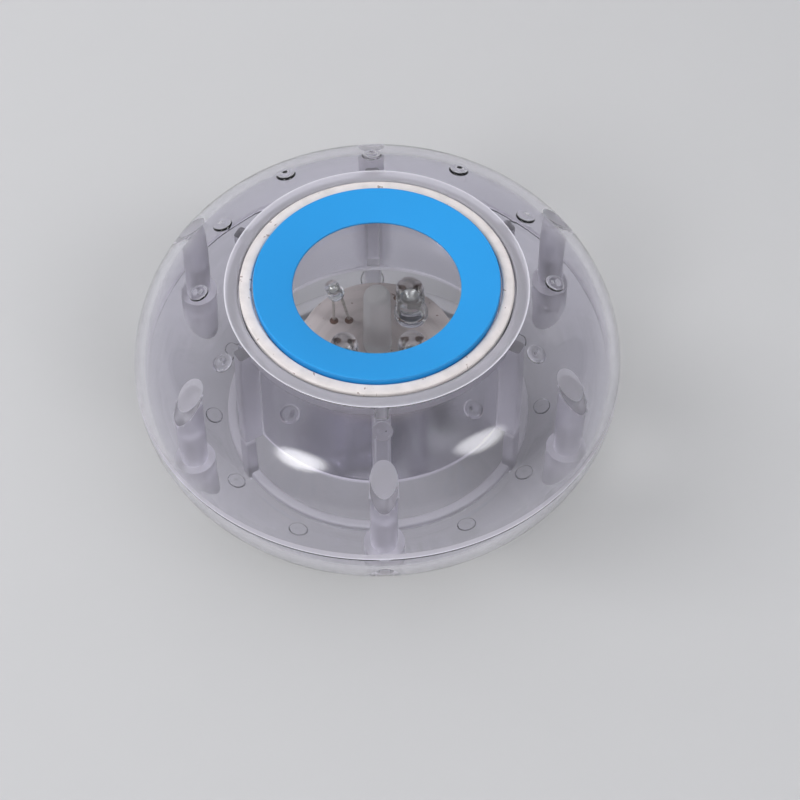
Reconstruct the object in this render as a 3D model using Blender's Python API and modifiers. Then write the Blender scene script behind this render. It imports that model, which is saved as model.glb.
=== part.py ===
"""Floating pool light: a clear two-part float with a lamp unit in its hub.

Units are metres and +Z is up. The light lies on its flat underside with the lamp window on top,
and the origin is the middle of that underside.
"""
import math

import bmesh
import bpy
from mathutils import Matrix, Vector

# Float
RIM_RADIUS = 0.0450
RIM_HEIGHT = 0.0178
TOP_HEIGHT = 0.0392
WALL = 0.0018
SEAM = 0.0003
FIT = 0.0003
SNUG = 0.0001
TURN_STEPS = 40
ARC_POINTS = 8

# Rim seal and its groove in the lower rim
SEAL_WIDTH = 0.0005
SEAL_HEIGHT = 0.00075
SEAL_CREST = 0.00015

# Hub that carries the lamp unit
SEAT_RADIUS = 0.0251
SEAT_DEPTH = 0.0026
SEAT_LEDGE = 0.0016
HUB_WALL = 0.0019
HUB_SHOULDER = 0.0014
HUB_DROP = 0.0014
HUB_LAP = 0.0028
RIB_COUNT = 6
RIB_THICKNESS = 0.0026
RIB_REACH = 0.0017

# Screw posts between the two shells
POST_COUNT = 6
POST_INSET = 0.0061
POST_RADIUS = 0.00245
POST_FOOT = 0.0025
SOCKET_WALL = 0.0009
SCREW_HEAD_RADIUS = 0.0023
SCREW_HEAD_HEIGHT = 0.0017
SCREW_RADIUS = 0.0012
SCREW_REACH = 0.0070
SCREW_SEAT = 0.0056

# Moulded bumps on both domes
BUMP_COUNT = 12
BUMP_RADIUS = 0.0018
BUMP_HEIGHT = 0.0005
UPPER_BUMP_OUT = 0.0051
LOWER_BUMP_OUT = 0.0045

# Window, gasket and bezel
LENS_THICKNESS = 0.0012
GASKET_WIDTH = 0.0022
BEZEL_WIDTH = 0.0071
BEZEL_LIP = 0.0005
BEZEL_RISE = 0.0020
GASKET_HEIGHT = 0.0010

# Battery compartment
CELL_COUNT = 3
CELL_RADIUS = 0.0058
CELL_HEIGHT = 0.0042
BATTERY_OFFSET = 0.0042
TUBE_CLEARANCE = 0.0009
TUBE_WALL = 0.0012
BOSS_WALL = 0.0006
STRIP_THICKNESS = 0.0003
STRIP_WIDTH = 0.0020
CONTACT_THICKNESS = 0.0004
SPRING_HEIGHT = 0.0027
SPRING_WIRE = 0.00025
SPRING_TURNS = 2.5
SPRING_WIDE = 0.0044
SPRING_NARROW = 0.0018
TURN_POINTS = 9

# Battery cap with a coin slot and two bayonet lugs
CAP_RECESS = 0.0003
CAP_FLANGE = 0.0016
CAP_LEDGE = 0.0010
CAP_PLUG_GAP = 0.0004
LUG_HEIGHT = 0.0008
LUG_WIDTH = 0.0036
LUG_REACH = 0.0011
ORING_WIRE = 0.0004
COIN_SLOT_WIDTH = 0.0018
COIN_SLOT_DEPTH = 0.0008

# Board and what it carries
BOARD_RADIUS = 0.0135
BOARD_THICKNESS = 0.0016
STANDOFF_RADIUS = 0.0016
STANDOFF_ANGLE = 56.0
STANDOFF_INSET = 0.0020
LED_RADIUS = 0.0025
LED_FLANGE = 0.0029
LED_LENGTH = 0.0084
LED_SPACING = 0.0118
LED_STAND = 0.0010
LED_HEADROOM = 0.0015
RAISED_LEAN = 16.0
LEAN_STAND = 0.0042
LEAD_PITCH = 0.00254
LEAD_RADIUS = 0.00025
LEAD_TAIL = 0.0008
CENTRE_POST_RADIUS = 0.00245
CHIP_SIZE = (0.0049, 0.0039, 0.0015)
RESISTOR_SIZE = (0.0020, 0.0012, 0.0006)

# Power button and its switch
BUTTON_RADIUS = 0.0030
BUTTON_FLANGE = 0.0042
BUTTON_RECESS = 0.0005
BUTTON_GAP = 0.0010
BUTTON_TRAVEL = 0.0006
SWITCH_SIZE = 0.0060
SWITCH_HEIGHT = 0.0035
PLUNGER_RADIUS = 0.0017

# Heights and radii that follow from the sizes above
UPPER_RIM = RIM_HEIGHT + SEAM / 2
LOWER_RIM = RIM_HEIGHT - SEAM / 2
FLAT_RADIUS = SEAT_RADIUS + HUB_WALL
DOME_WIDTH = RIM_RADIUS - FLAT_RADIUS
SEAT_HEIGHT = TOP_HEIGHT - SEAT_DEPTH
LENS_BOTTOM = SEAT_HEIGHT + FIT
LENS_TOP = LENS_BOTTOM + LENS_THICKNESS
HUB_INNER = SEAT_RADIUS - SEAT_LEDGE
HUB_OUTER = HUB_INNER + HUB_WALL
HUB_BOTTOM = RIM_HEIGHT + HUB_DROP
SLEEVE_INNER = HUB_OUTER + FIT
SLEEVE_OUTER = SLEEVE_INNER + HUB_WALL
SLEEVE_TOP = HUB_BOTTOM + HUB_LAP
POST_CIRCLE = RIM_RADIUS - POST_INSET
SOCKET_TOP = RIM_HEIGHT - POST_FOOT - FIT
SOCKET_RADIUS = POST_RADIUS + FIT + SOCKET_WALL
BEZEL_OUTER = SEAT_RADIUS - FIT - GASKET_WIDTH - FIT
BEZEL_INNER = BEZEL_OUTER - BEZEL_WIDTH

CELL_BORE = CELL_RADIUS + TUBE_CLEARANCE
TUBE_RADIUS = CELL_BORE + TUBE_WALL
CAP_PLUG = CELL_RADIUS + SNUG
LEDGE_BORE = CAP_PLUG + CAP_PLUG_GAP
LUG_RADIUS = CAP_PLUG + LUG_REACH
GROOVE_RADIUS = math.hypot(LUG_RADIUS, LUG_WIDTH / 2) + FIT
CAP_RADIUS = GROOVE_RADIUS + 2 * ORING_WIRE
RECESS_RADIUS = CAP_RADIUS + FIT
BOSS_RADIUS = RECESS_RADIUS + BOSS_WALL
CAP_BOTTOM = CAP_RECESS
CAP_TOP = CAP_BOTTOM + CAP_FLANGE
RECESS_TOP = CAP_TOP + FIT
LEDGE_TOP = RECESS_TOP + CAP_LEDGE
LUG_BOTTOM = LEDGE_TOP + FIT
LUG_TOP = LUG_BOTTOM + LUG_HEIGHT
GROOVE_TOP = LUG_TOP + FIT
PLUG_TOP = LUG_TOP + SNUG
CONTACT_BOTTOM = PLUG_TOP + SNUG
CONTACT_TOP = CONTACT_BOTTOM + CONTACT_THICKNESS
STRIP_BOTTOM = CONTACT_TOP + SNUG
CELLS_BOTTOM = STRIP_BOTTOM + STRIP_THICKNESS + SNUG
CELL_PITCH = CELL_HEIGHT + SNUG
SPRING_BOTTOM = CELLS_BOTTOM + CELL_COUNT * CELL_PITCH
BOARD_BOTTOM = SPRING_BOTTOM + SPRING_HEIGHT + 2 * SNUG
BOARD_TOP = BOARD_BOTTOM + BOARD_THICKNESS
STANDOFF_TOP = BOARD_BOTTOM - FIT
TUBE_TOP = BOARD_BOTTOM - LEAD_TAIL - FIT
BATTERY_X = -BATTERY_OFFSET
BUTTON_X = BATTERY_X + BOSS_RADIUS + BUTTON_GAP + BUTTON_FLANGE
RAISED_STAND = LENS_BOTTOM - LED_HEADROOM - LED_LENGTH - BOARD_TOP

# Finishes: colour, roughness, metallic value and how much light passes
FINISHES = {
    "clear_lilac": ((0.86, 0.84, 0.95), 0.06, 0.0, 0.95),
    "clear_water": ((0.93, 0.95, 1.00), 0.05, 0.0, 0.95),
    "clear_rubber": ((0.90, 0.90, 0.95), 0.35, 0.0, 0.70),
    "blue_plastic": ((0.024, 0.352, 0.807), 0.42, 0.0, 0.0),
    "white_rubber": ((0.86, 0.84, 0.82), 0.60, 0.0, 0.0),
    "white_board": ((0.84, 0.79, 0.78), 0.38, 0.0, 0.0),
    "plated_steel": ((0.62, 0.60, 0.57), 0.30, 1.0, 0.0),
    "tinned_wire": ((0.70, 0.69, 0.66), 0.28, 1.0, 0.0),
    "cell_steel": ((0.66, 0.66, 0.65), 0.24, 1.0, 0.0),
    "black_plastic": ((0.03, 0.03, 0.032), 0.45, 0.0, 0.0),
    "black_rubber": ((0.025, 0.025, 0.027), 0.65, 0.0, 0.0),
    "white_silicone": ((0.82, 0.83, 0.85), 0.55, 0.0, 0.0),
}


def finish(name):
    """Principled material for one of the named finishes."""
    found = bpy.data.materials.get(name)
    if found:
        return found
    colour, roughness, metallic, clear = FINISHES[name]
    made = bpy.data.materials.new(name)
    made.use_nodes = True
    shader = made.node_tree.nodes["Principled BSDF"]
    shader.inputs["Base Color"].default_value = (*colour, 1.0)
    shader.inputs["Roughness"].default_value = roughness
    shader.inputs["Metallic"].default_value = metallic
    shader.inputs["Transmission Weight"].default_value = clear
    made.diffuse_color = (*colour, 1.0)
    return made


def collection(name):
    """New collection under the scene."""
    made = bpy.data.collections.new(name)
    bpy.context.scene.collection.children.link(made)
    return made


def joint_empty(name, x):
    """Empty on a joint's vertical axis, which carries the moving pieces."""
    empty = bpy.data.objects.new(name, None)
    empty.location = (x, 0.0, 0.0)
    empty.empty_display_size = RIM_RADIUS / 4
    PARTS.objects.link(empty)
    return empty


def part(name, data, look, place=(0.0, 0.0, 0.0), parent=None):
    """Named sub-part with its finish, placed under its parent where it has one."""
    obj = bpy.data.objects.new(name, data)
    data.materials.append(finish(look))
    obj.location = place
    obj.parent = parent
    PARTS.objects.link(obj)
    return obj


def tool(name, data, place=(0.0, 0.0, 0.0)):
    """Hidden solid that is joined to a part or cut out of it."""
    obj = bpy.data.objects.new(name, data)
    obj.location = place
    obj.hide_render = True
    obj.display_type = "WIRE"
    TOOLS.objects.link(obj)
    return obj


def combine(obj, other, operation):
    """Boolean of a part with a tool."""
    step = obj.modifiers.new(other.name, "BOOLEAN")
    step.operation = operation
    step.object = other
    step.solver = "EXACT"


def mesh_from(name, fill):
    """Mesh made by a function that fills a bmesh, shaded smooth with sharp edges kept."""
    shape = bmesh.new()
    fill(shape)
    mesh = bpy.data.meshes.new(name)
    shape.to_mesh(mesh)
    shape.free()
    mesh.shade_smooth()
    mesh.set_sharp_from_angle(angle=math.radians(35.0))
    return mesh


def profile_mesh(name, points, closed):
    """Edge chain in the XZ plane for a turned shape."""
    mesh = bpy.data.meshes.new(name)
    count = len(points)
    edges = [(i, (i + 1) % count) for i in range(count if closed else count - 1)]
    mesh.from_pydata([(r, 0.0, z) for r, z in points], edges, [])
    return mesh


def turn(obj, steps=TURN_STEPS):
    """Screw modifier that turns a profile once round Z."""
    screw = obj.modifiers.new("turn", "SCREW")
    screw.steps = steps
    screw.render_steps = steps
    screw.use_merge_vertices = True
    screw.merge_threshold = 0.00001
    screw.use_smooth_shade = True
    return obj


def turned_part(name, points, look, closed=False, steps=TURN_STEPS, place=(0.0, 0.0, 0.0), parent=None):
    """Turned sub-part: a ring from a closed profile or a solid from one that ends on the axis."""
    return turn(part(name, profile_mesh(name, points, closed), look, place, parent), steps)


def box(shape, low, high, angle=0.0):
    """Block between two corners, turned about Z."""
    low = Vector(low)
    high = Vector(high)
    size = Matrix.Diagonal((*(high - low), 1.0))
    place = Matrix.Rotation(angle, 4, "Z") @ Matrix.Translation((low + high) / 2)
    bmesh.ops.create_cube(shape, size=1.0, matrix=place @ size)


def rod(shape, x, y, radius, low, high, sides=16):
    """Upright round bar, whose vertices are given back."""
    made = bmesh.ops.create_cone(
        shape, cap_ends=True, segments=sides, radius1=radius, radius2=radius, depth=high - low,
        matrix=Matrix.Translation((x, y, (low + high) / 2)))
    return made["verts"]


def follow(verts, level, height):
    """Move the end of a bar that lies at a level onto a height that depends on the radius."""
    for vert in verts:
        if abs(vert.co.z - level) < 0.00001:
            vert.co.z = height(math.hypot(vert.co.x, vert.co.y))


def around(count, radius, start=0.0):
    """Evenly spaced places on a circle, as angle, x and y."""
    for index in range(count):
        angle = start + index * math.tau / count
        yield angle, radius * math.cos(angle), radius * math.sin(angle)


def arc(centre_z, width, rise, start, end, count=ARC_POINTS):
    """Points of an ellipse round (FLAT_RADIUS, centre_z), between two angles."""
    for index in range(count):
        angle = start + (end - start) * index / (count - 1)
        yield FLAT_RADIUS + width * math.cos(angle), centre_z + rise * math.sin(angle)


def dome_height(radius, skin):
    """Height of the upper dome's surface, skin metres below its outside."""
    share = min(max(radius - FLAT_RADIUS, 0.0) / (DOME_WIDTH - skin), 1.0)
    return UPPER_RIM + (TOP_HEIGHT - UPPER_RIM - skin) * math.sqrt(1.0 - share * share)


def dish_height(radius, skin):
    """Height of the lower dish's surface, skin metres above its outside."""
    share = min(max(radius - FLAT_RADIUS, 0.0) / (DOME_WIDTH - skin), 1.0)
    return LOWER_RIM - (LOWER_RIM - skin) * math.sqrt(1.0 - share * share)


def bumps(shape, circle, height, slope):
    """Low round bumps on a dome, each square to the surface."""
    for angle, x, y in around(BUMP_COUNT, circle, -math.pi / 2):
        tilt = Matrix.Rotation(angle, 4, "Z") @ Matrix.Rotation(slope, 4, "Y")
        flat = Matrix.Diagonal((BUMP_RADIUS, BUMP_RADIUS, BUMP_HEIGHT, 1.0))
        bmesh.ops.create_uvsphere(
            shape, u_segments=10, v_segments=4, radius=1.0,
            matrix=Matrix.Translation((x, y, height)) @ tilt @ flat)


def surface_slope(height, circle):
    """Angle by which a dome's outside falls away at a radius."""
    step = 0.0001
    return math.atan2(height(circle - step, 0.0) - height(circle + step, 0.0), 2 * step)


def build_upper_shell():
    """Clear top: dome, hub wall with the window seat, ribs, screw posts and bumps."""
    dome = TOP_HEIGHT - UPPER_RIM
    quarter = math.pi / 2
    outline = [(SEAT_RADIUS, TOP_HEIGHT)]
    outline += arc(UPPER_RIM, DOME_WIDTH, dome, quarter, 0.0)
    outline += arc(UPPER_RIM, DOME_WIDTH - WALL, dome - WALL, 0.0, quarter)
    outline += [
        (FLAT_RADIUS, SEAT_HEIGHT - HUB_WALL / 2),
        (HUB_OUTER, SEAT_HEIGHT - HUB_WALL / 2 - HUB_SHOULDER),
        (HUB_OUTER, HUB_BOTTOM),
        (HUB_INNER, HUB_BOTTOM),
        (HUB_INNER, SEAT_HEIGHT),
        (SEAT_RADIUS, SEAT_HEIGHT),
    ]
    shell = turned_part("upper_shell", outline, "clear_lilac", closed=True)

    foot = SOCKET_TOP + FIT
    bump_circle = FLAT_RADIUS + UPPER_BUMP_OUT

    def additions(shape):
        for angle, _, _ in around(RIB_COUNT, 1.0, math.pi / RIB_COUNT):
            low = (SEAT_RADIUS + SNUG, -RIB_THICKNESS / 2, SLEEVE_TOP + FIT)
            high = (SLEEVE_OUTER + RIB_REACH, RIB_THICKNESS / 2, TOP_HEIGHT - WALL / 2)
            box(shape, low, high, angle)
        for _, x, y in around(POST_COUNT, POST_CIRCLE, math.pi / POST_COUNT):
            verts = rod(shape, x, y, POST_RADIUS, foot, TOP_HEIGHT)
            follow(verts, TOP_HEIGHT, lambda radius: dome_height(radius, WALL / 2))
        slope = surface_slope(dome_height, bump_circle)
        bumps(shape, bump_circle, dome_height(bump_circle, 0.0), slope)

    def bores(shape):
        for _, x, y in around(POST_COUNT, POST_CIRCLE, math.pi / POST_COUNT):
            rod(shape, x, y, SCREW_RADIUS + FIT, foot - WALL, foot + SCREW_REACH + FIT, 12)

    combine(shell, tool("upper_additions", mesh_from("upper_additions", additions)), "UNION")
    combine(shell, tool("upper_bores", mesh_from("upper_bores", bores)), "DIFFERENCE")


def build_lower_shell():
    """Clear dish: floor, hub sleeve, battery tube, screw sockets, standoffs and bumps."""
    quarter = math.pi / 2
    middle = RIM_RADIUS - WALL / 2
    groove = SEAL_WIDTH / 2 + SNUG
    groove_floor = LOWER_RIM - SEAL_HEIGHT + SEAL_CREST - SNUG
    outline = [
        (0.0, WALL),
        (SLEEVE_INNER, WALL),
        (SLEEVE_INNER, SLEEVE_TOP),
        (SLEEVE_OUTER, SLEEVE_TOP),
        (SLEEVE_OUTER, WALL + WALL / 4),
    ]
    inner = arc(LOWER_RIM, DOME_WIDTH - WALL, LOWER_RIM - WALL, -quarter, 0.0)
    outline += [point for point in inner if point[0] > SLEEVE_OUTER]
    outline += [
        (middle - groove, LOWER_RIM),
        (middle - groove, groove_floor),
        (middle + groove, groove_floor),
        (middle + groove, LOWER_RIM),
    ]
    outline += arc(LOWER_RIM, DOME_WIDTH, LOWER_RIM, 0.0, -quarter)
    outline.append((0.0, 0.0))
    shell = turned_part("lower_shell", outline, "clear_lilac")

    head_seat = dish_height(POST_CIRCLE, 0.0) + SCREW_SEAT
    bump_circle = FLAT_RADIUS + LOWER_BUMP_OUT

    def additions(shape):
        for angle, _, _ in around(RIB_COUNT, 1.0, math.pi / RIB_COUNT):
            low = (SLEEVE_OUTER - WALL / 2, -RIB_THICKNESS / 2, WALL / 2)
            high = (SLEEVE_OUTER + RIB_REACH, RIB_THICKNESS / 2, SLEEVE_TOP - WALL)
            box(shape, low, high, angle)
        for _, x, y in around(POST_COUNT, POST_CIRCLE, math.pi / POST_COUNT):
            verts = rod(shape, x, y, SOCKET_RADIUS, 0.0, SOCKET_TOP)
            follow(verts, 0.0, lambda radius: dish_height(radius, WALL / 2))
        rod(shape, BATTERY_X, 0.0, BOSS_RADIUS, WALL / 2, GROOVE_TOP + WALL, 40)
        slope = surface_slope(dish_height, bump_circle)
        bumps(shape, bump_circle, dish_height(bump_circle, 0.0), slope)

    def tube_and_standoffs(shape):
        rod(shape, BATTERY_X, 0.0, TUBE_RADIUS, GROOVE_TOP + WALL / 2, TUBE_TOP, 40)
        for turned in (STANDOFF_ANGLE, 180.0 - STANDOFF_ANGLE, STANDOFF_ANGLE - 180.0, -STANDOFF_ANGLE):
            angle = math.radians(turned)
            reach = BOARD_RADIUS - STANDOFF_INSET
            x = reach * math.cos(angle)
            y = reach * math.sin(angle)
            rod(shape, x, y, STANDOFF_RADIUS, WALL / 2, STANDOFF_TOP)

    def holes(shape):
        for _, x, y in around(POST_COUNT, POST_CIRCLE, math.pi / POST_COUNT):
            rod(shape, x, y, SCREW_HEAD_RADIUS + FIT, -WALL, head_seat)
        rod(shape, BUTTON_X, 0.0, BUTTON_RADIUS + FIT, -WALL, 2 * WALL, 24)

    def screw_bores(shape):
        for _, x, y in around(POST_COUNT, POST_CIRCLE, math.pi / POST_COUNT):
            rod(shape, x, y, SCREW_RADIUS + FIT, head_seat - WALL / 2, SOCKET_TOP + WALL, 12)

    bore = [
        (0.0, TUBE_TOP + WALL),
        (CELL_BORE, TUBE_TOP + WALL),
        (CELL_BORE, GROOVE_TOP),
        (GROOVE_RADIUS, GROOVE_TOP),
        (GROOVE_RADIUS, LEDGE_TOP),
        (LEDGE_BORE, LEDGE_TOP),
        (LEDGE_BORE, RECESS_TOP),
        (RECESS_RADIUS, RECESS_TOP),
        (RECESS_RADIUS, -WALL),
        (0.0, -WALL),
    ]

    def lug_ways(shape):
        side = LUG_WIDTH / 2 + FIT
        low = (BATTERY_X - LUG_RADIUS - FIT, -side, RECESS_TOP - FIT)
        high = (BATTERY_X + LUG_RADIUS + FIT, side, LEDGE_TOP + FIT)
        box(shape, low, high)

    combine(shell, tool("lower_additions", mesh_from("lower_additions", additions)), "UNION")
    combine(shell, tool("battery_tube", mesh_from("battery_tube", tube_and_standoffs)), "UNION")
    combine(shell, tool("lower_holes", mesh_from("lower_holes", holes)), "DIFFERENCE")
    combine(shell, tool("screw_bores", mesh_from("screw_bores", screw_bores)), "DIFFERENCE")
    bore_tool = tool("battery_bore", profile_mesh("battery_bore", bore, False), (BATTERY_X, 0.0, 0.0))
    combine(shell, turn(bore_tool, 40), "DIFFERENCE")
    combine(shell, tool("lug_ways", mesh_from("lug_ways", lug_ways)), "DIFFERENCE")


def build_rim_seal():
    """Soft ring in the groove of the lower rim."""
    middle = RIM_RADIUS - WALL / 2
    top = LOWER_RIM + SEAL_CREST
    ring = [
        (middle - SEAL_WIDTH / 2, top),
        (middle + SEAL_WIDTH / 2, top),
        (middle + SEAL_WIDTH / 2, top - SEAL_HEIGHT),
        (middle - SEAL_WIDTH / 2, top - SEAL_HEIGHT),
    ]
    turned_part("rim_seal", ring, "clear_rubber", closed=True)


def build_shell_screws():
    """Screws that go up through the sockets into the posts."""
    seat = dish_height(POST_CIRCLE, 0.0) + SCREW_SEAT - FIT
    tip = SOCKET_TOP + SCREW_REACH
    for index, (_, x, y) in enumerate(around(POST_COUNT, POST_CIRCLE, math.pi / POST_COUNT)):
        outline = [
            (0.0, tip),
            (SCREW_RADIUS / 3, tip),
            (SCREW_RADIUS, tip - 2 * SCREW_RADIUS),
            (SCREW_RADIUS, seat),
            (SCREW_HEAD_RADIUS, seat),
            (SCREW_HEAD_RADIUS, seat - SCREW_HEAD_HEIGHT / 2),
            (SCREW_HEAD_RADIUS * 0.7, seat - SCREW_HEAD_HEIGHT),
            (0.0, seat - SCREW_HEAD_HEIGHT),
        ]
        turned_part(f"shell_screw_{index + 1}", outline, "plated_steel", steps=12, place=(x, y, 0.0))


def build_window():
    """Clear window on the hub's ledge, its white gasket and the dished blue bezel."""
    radius = SEAT_RADIUS - FIT
    lens = [(0.0, LENS_TOP), (radius, LENS_TOP), (radius, LENS_BOTTOM), (0.0, LENS_BOTTOM)]
    turned_part("window_lens", lens, "clear_water")

    base = LENS_TOP + FIT
    inner = BEZEL_OUTER + FIT
    edge = GASKET_HEIGHT / 4
    gasket = [
        (inner, base + GASKET_HEIGHT),
        (radius - edge, base + GASKET_HEIGHT),
        (radius, base + GASKET_HEIGHT - edge),
        (radius, base),
        (inner, base),
    ]
    turned_part("window_gasket", gasket, "white_rubber", closed=True)

    bezel = [
        (BEZEL_INNER, base + BEZEL_LIP),
        (BEZEL_OUTER - BEZEL_LIP / 2, base + BEZEL_RISE),
        (BEZEL_OUTER, base + BEZEL_RISE - BEZEL_LIP / 2),
        (BEZEL_OUTER, base),
        (BEZEL_INNER, base),
    ]
    turned_part("bezel_ring", bezel, "blue_plastic", closed=True)


def led_places():
    """Place, stand-off and lean of each lamp, counted from the back left one, which sits high and
    leans further the higher it stands."""
    half = LED_SPACING / 2
    yield 1, -half, half, RAISED_STAND, math.radians(RAISED_LEAN * RAISED_STAND / LEAN_STAND)
    yield 2, half, half, LED_STAND, 0.0
    yield 3, -half, -half, LED_STAND, 0.0
    yield 4, half, -half, LED_STAND, 0.0


def build_board():
    """Round circuit board with its lead holes, chip and resistors."""
    def disc(shape):
        rod(shape, 0.0, 0.0, BOARD_RADIUS, BOARD_BOTTOM, BOARD_TOP, TURN_STEPS)

    def lead_holes(shape):
        for _, x, y, _, _ in led_places():
            for side in (-1, 1):
                hole = x + side * LEAD_PITCH / 2
                rod(shape, hole, y, LEAD_RADIUS + FIT, BOARD_BOTTOM - FIT, BOARD_TOP + FIT, 8)

    board = part("circuit_board", mesh_from("circuit_board", disc), "white_board")
    combine(board, tool("lead_holes", mesh_from("lead_holes", lead_holes)), "DIFFERENCE")

    reach = (TUBE_RADIUS + BOARD_RADIUS) / 2
    pieces = [("driver_chip", CHIP_SIZE, 1), ("led_resistor", RESISTOR_SIZE, -1)]
    for name, size, side in pieces:
        centre = Vector((BATTERY_X / 4, side * reach, BOARD_BOTTOM - SNUG))
        low = centre - Vector((size[0] / 2, size[1] / 2, size[2]))
        high = centre + Vector((size[0] / 2, size[1] / 2, 0.0))
        block = mesh_from(name, lambda shape, low=low, high=high: box(shape, low, high))
        part(name, block, "black_plastic")


def build_leds():
    """Clear lamps with a flange and a round top, each on two wire leads."""
    neck = LED_FLANGE - LED_RADIUS
    outline = [
        (LED_RADIUS * math.sin(angle), LED_LENGTH - LED_RADIUS + LED_RADIUS * math.cos(angle))
        for angle in [index * math.pi / 12 for index in range(7)]
    ]
    outline += [(LED_RADIUS, neck * 2.5), (LED_FLANGE, neck * 2.5), (LED_FLANGE, 0.0), (0.0, 0.0)]
    outline[0] = (0.0, LED_LENGTH)
    for number, x, y, stand, lean in led_places():
        lamp = turned_part(f"led_{number}", outline, "clear_water", steps=16)
        tilt = Matrix.Rotation(lean, 3, "X") @ Matrix.Rotation(-lean, 3, "Y")
        base = Vector((x, y, BOARD_TOP + stand))
        lamp.location = base
        lamp.rotation_euler = tilt.to_euler()
        for side, letter in ((-1, "a"), (1, "b")):
            hole = Vector((x + side * LEAD_PITCH / 2, y, BOARD_TOP))
            end = base + tilt @ Vector((side * LEAD_PITCH / 2, 0.0, -SNUG))
            tail = hole - Vector((0.0, 0.0, BOARD_THICKNESS + LEAD_TAIL))
            bend = hole + Vector((0.0, 0.0, min(LEAD_RADIUS, (stand - SNUG) / 2)))
            wire_part(f"led_lead_{number}{letter}", [tail, bend, end], LEAD_RADIUS, "tinned_wire")


def wire_part(name, points, radius, look):
    """Round wire along straight runs between points, with closed ends."""
    curve = bpy.data.curves.new(name, "CURVE")
    curve.dimensions = "3D"
    curve.bevel_depth = radius
    curve.bevel_resolution = 1
    curve.use_fill_caps = True
    spline = curve.splines.new("POLY")
    spline.points.add(len(points) - 1)
    for point, place in zip(spline.points, points):
        point.co = (*place, 1.0)
    return part(name, curve, look)


def build_centre_post():
    """Clear post with a round top that holds the board down under the window."""
    low = BOARD_TOP + FIT
    high = LENS_BOTTOM - FIT
    curve = CENTRE_POST_RADIUS / 2
    outline = [(0.0, high)]
    for index in range(1, 5):
        angle = index * math.pi / 8
        outline.append((
            CENTRE_POST_RADIUS - curve + curve * math.sin(angle),
            high - curve + curve * math.cos(angle)))
    outline += [(CENTRE_POST_RADIUS, low), (0.0, low)]
    turned_part("centre_post", outline, "clear_water", steps=20)


def build_batteries():
    """Button cells in their tube, the contact strip and the conical contact spring."""
    crimp = CELL_HEIGHT / 8
    outline = [
        (0.0, CELL_HEIGHT),
        (CELL_RADIUS - 2 * crimp, CELL_HEIGHT),
        (CELL_RADIUS - 2 * crimp, CELL_HEIGHT - crimp / 2),
        (CELL_RADIUS - crimp, CELL_HEIGHT - crimp / 2),
        (CELL_RADIUS, CELL_HEIGHT - 1.5 * crimp),
        (CELL_RADIUS, crimp / 2),
        (CELL_RADIUS - crimp / 2, 0.0),
        (0.0, 0.0),
    ]
    for index in range(CELL_COUNT):
        place = (BATTERY_X, 0.0, CELLS_BOTTOM + index * CELL_PITCH)
        turned_part(f"button_cell_{index + 1}", outline, "cell_steel", steps=24, place=place)

    outer = CELL_BORE - (CELL_BORE - CELL_RADIUS - STRIP_THICKNESS) / 3

    def strip(shape):
        side = STRIP_WIDTH / 2
        high = (BATTERY_X - outer + STRIP_THICKNESS, side, BOARD_BOTTOM - SNUG)
        box(shape, (BATTERY_X - outer, -side, STRIP_BOTTOM), high)

    def foot(shape):
        side = STRIP_WIDTH / 2
        low = (BATTERY_X - outer + STRIP_THICKNESS / 2, -side, STRIP_BOTTOM)
        box(shape, low, (BATTERY_X, side, STRIP_BOTTOM + STRIP_THICKNESS))

    plate = part("contact_strip", mesh_from("contact_strip", strip), "plated_steel")
    combine(plate, tool("strip_foot", mesh_from("strip_foot", foot)), "UNION")
    build_contact_spring()


def build_contact_spring():
    """Conical spring of one unbroken wire between the top cell and the board."""
    low = SPRING_BOTTOM + SPRING_WIRE
    high = BOARD_BOTTOM - SNUG - SPRING_WIRE
    count = round(SPRING_TURNS * TURN_POINTS) + 1
    points = []
    for index in range(count):
        share = index / (count - 1)
        angle = share * SPRING_TURNS * math.tau
        radius = SPRING_NARROW + (SPRING_WIDE - SPRING_NARROW) * share
        place = Vector((radius * math.cos(angle), radius * math.sin(angle), low + (high - low) * share))
        points.append(place + Vector((BATTERY_X, 0.0, 0.0)))
    for end, beside in ((0, 1), (-1, -2)):
        away = points[end] - points[beside]
        away.z = 0.0
        points.insert(0 if end == 0 else len(points), points[end] + away.normalized() * 2 * SPRING_WIRE)
    gaps = [
        (first - second).length - 2 * SPRING_WIRE
        for index, first in enumerate(points)
        for second in points[index + TURN_POINTS // 2:]
    ]
    print(f"contact_spring least gap to itself {min(gaps) * 1000.0:.2f} mm")
    wire_part("contact_spring", points, SPRING_WIRE, "plated_steel")


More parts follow.
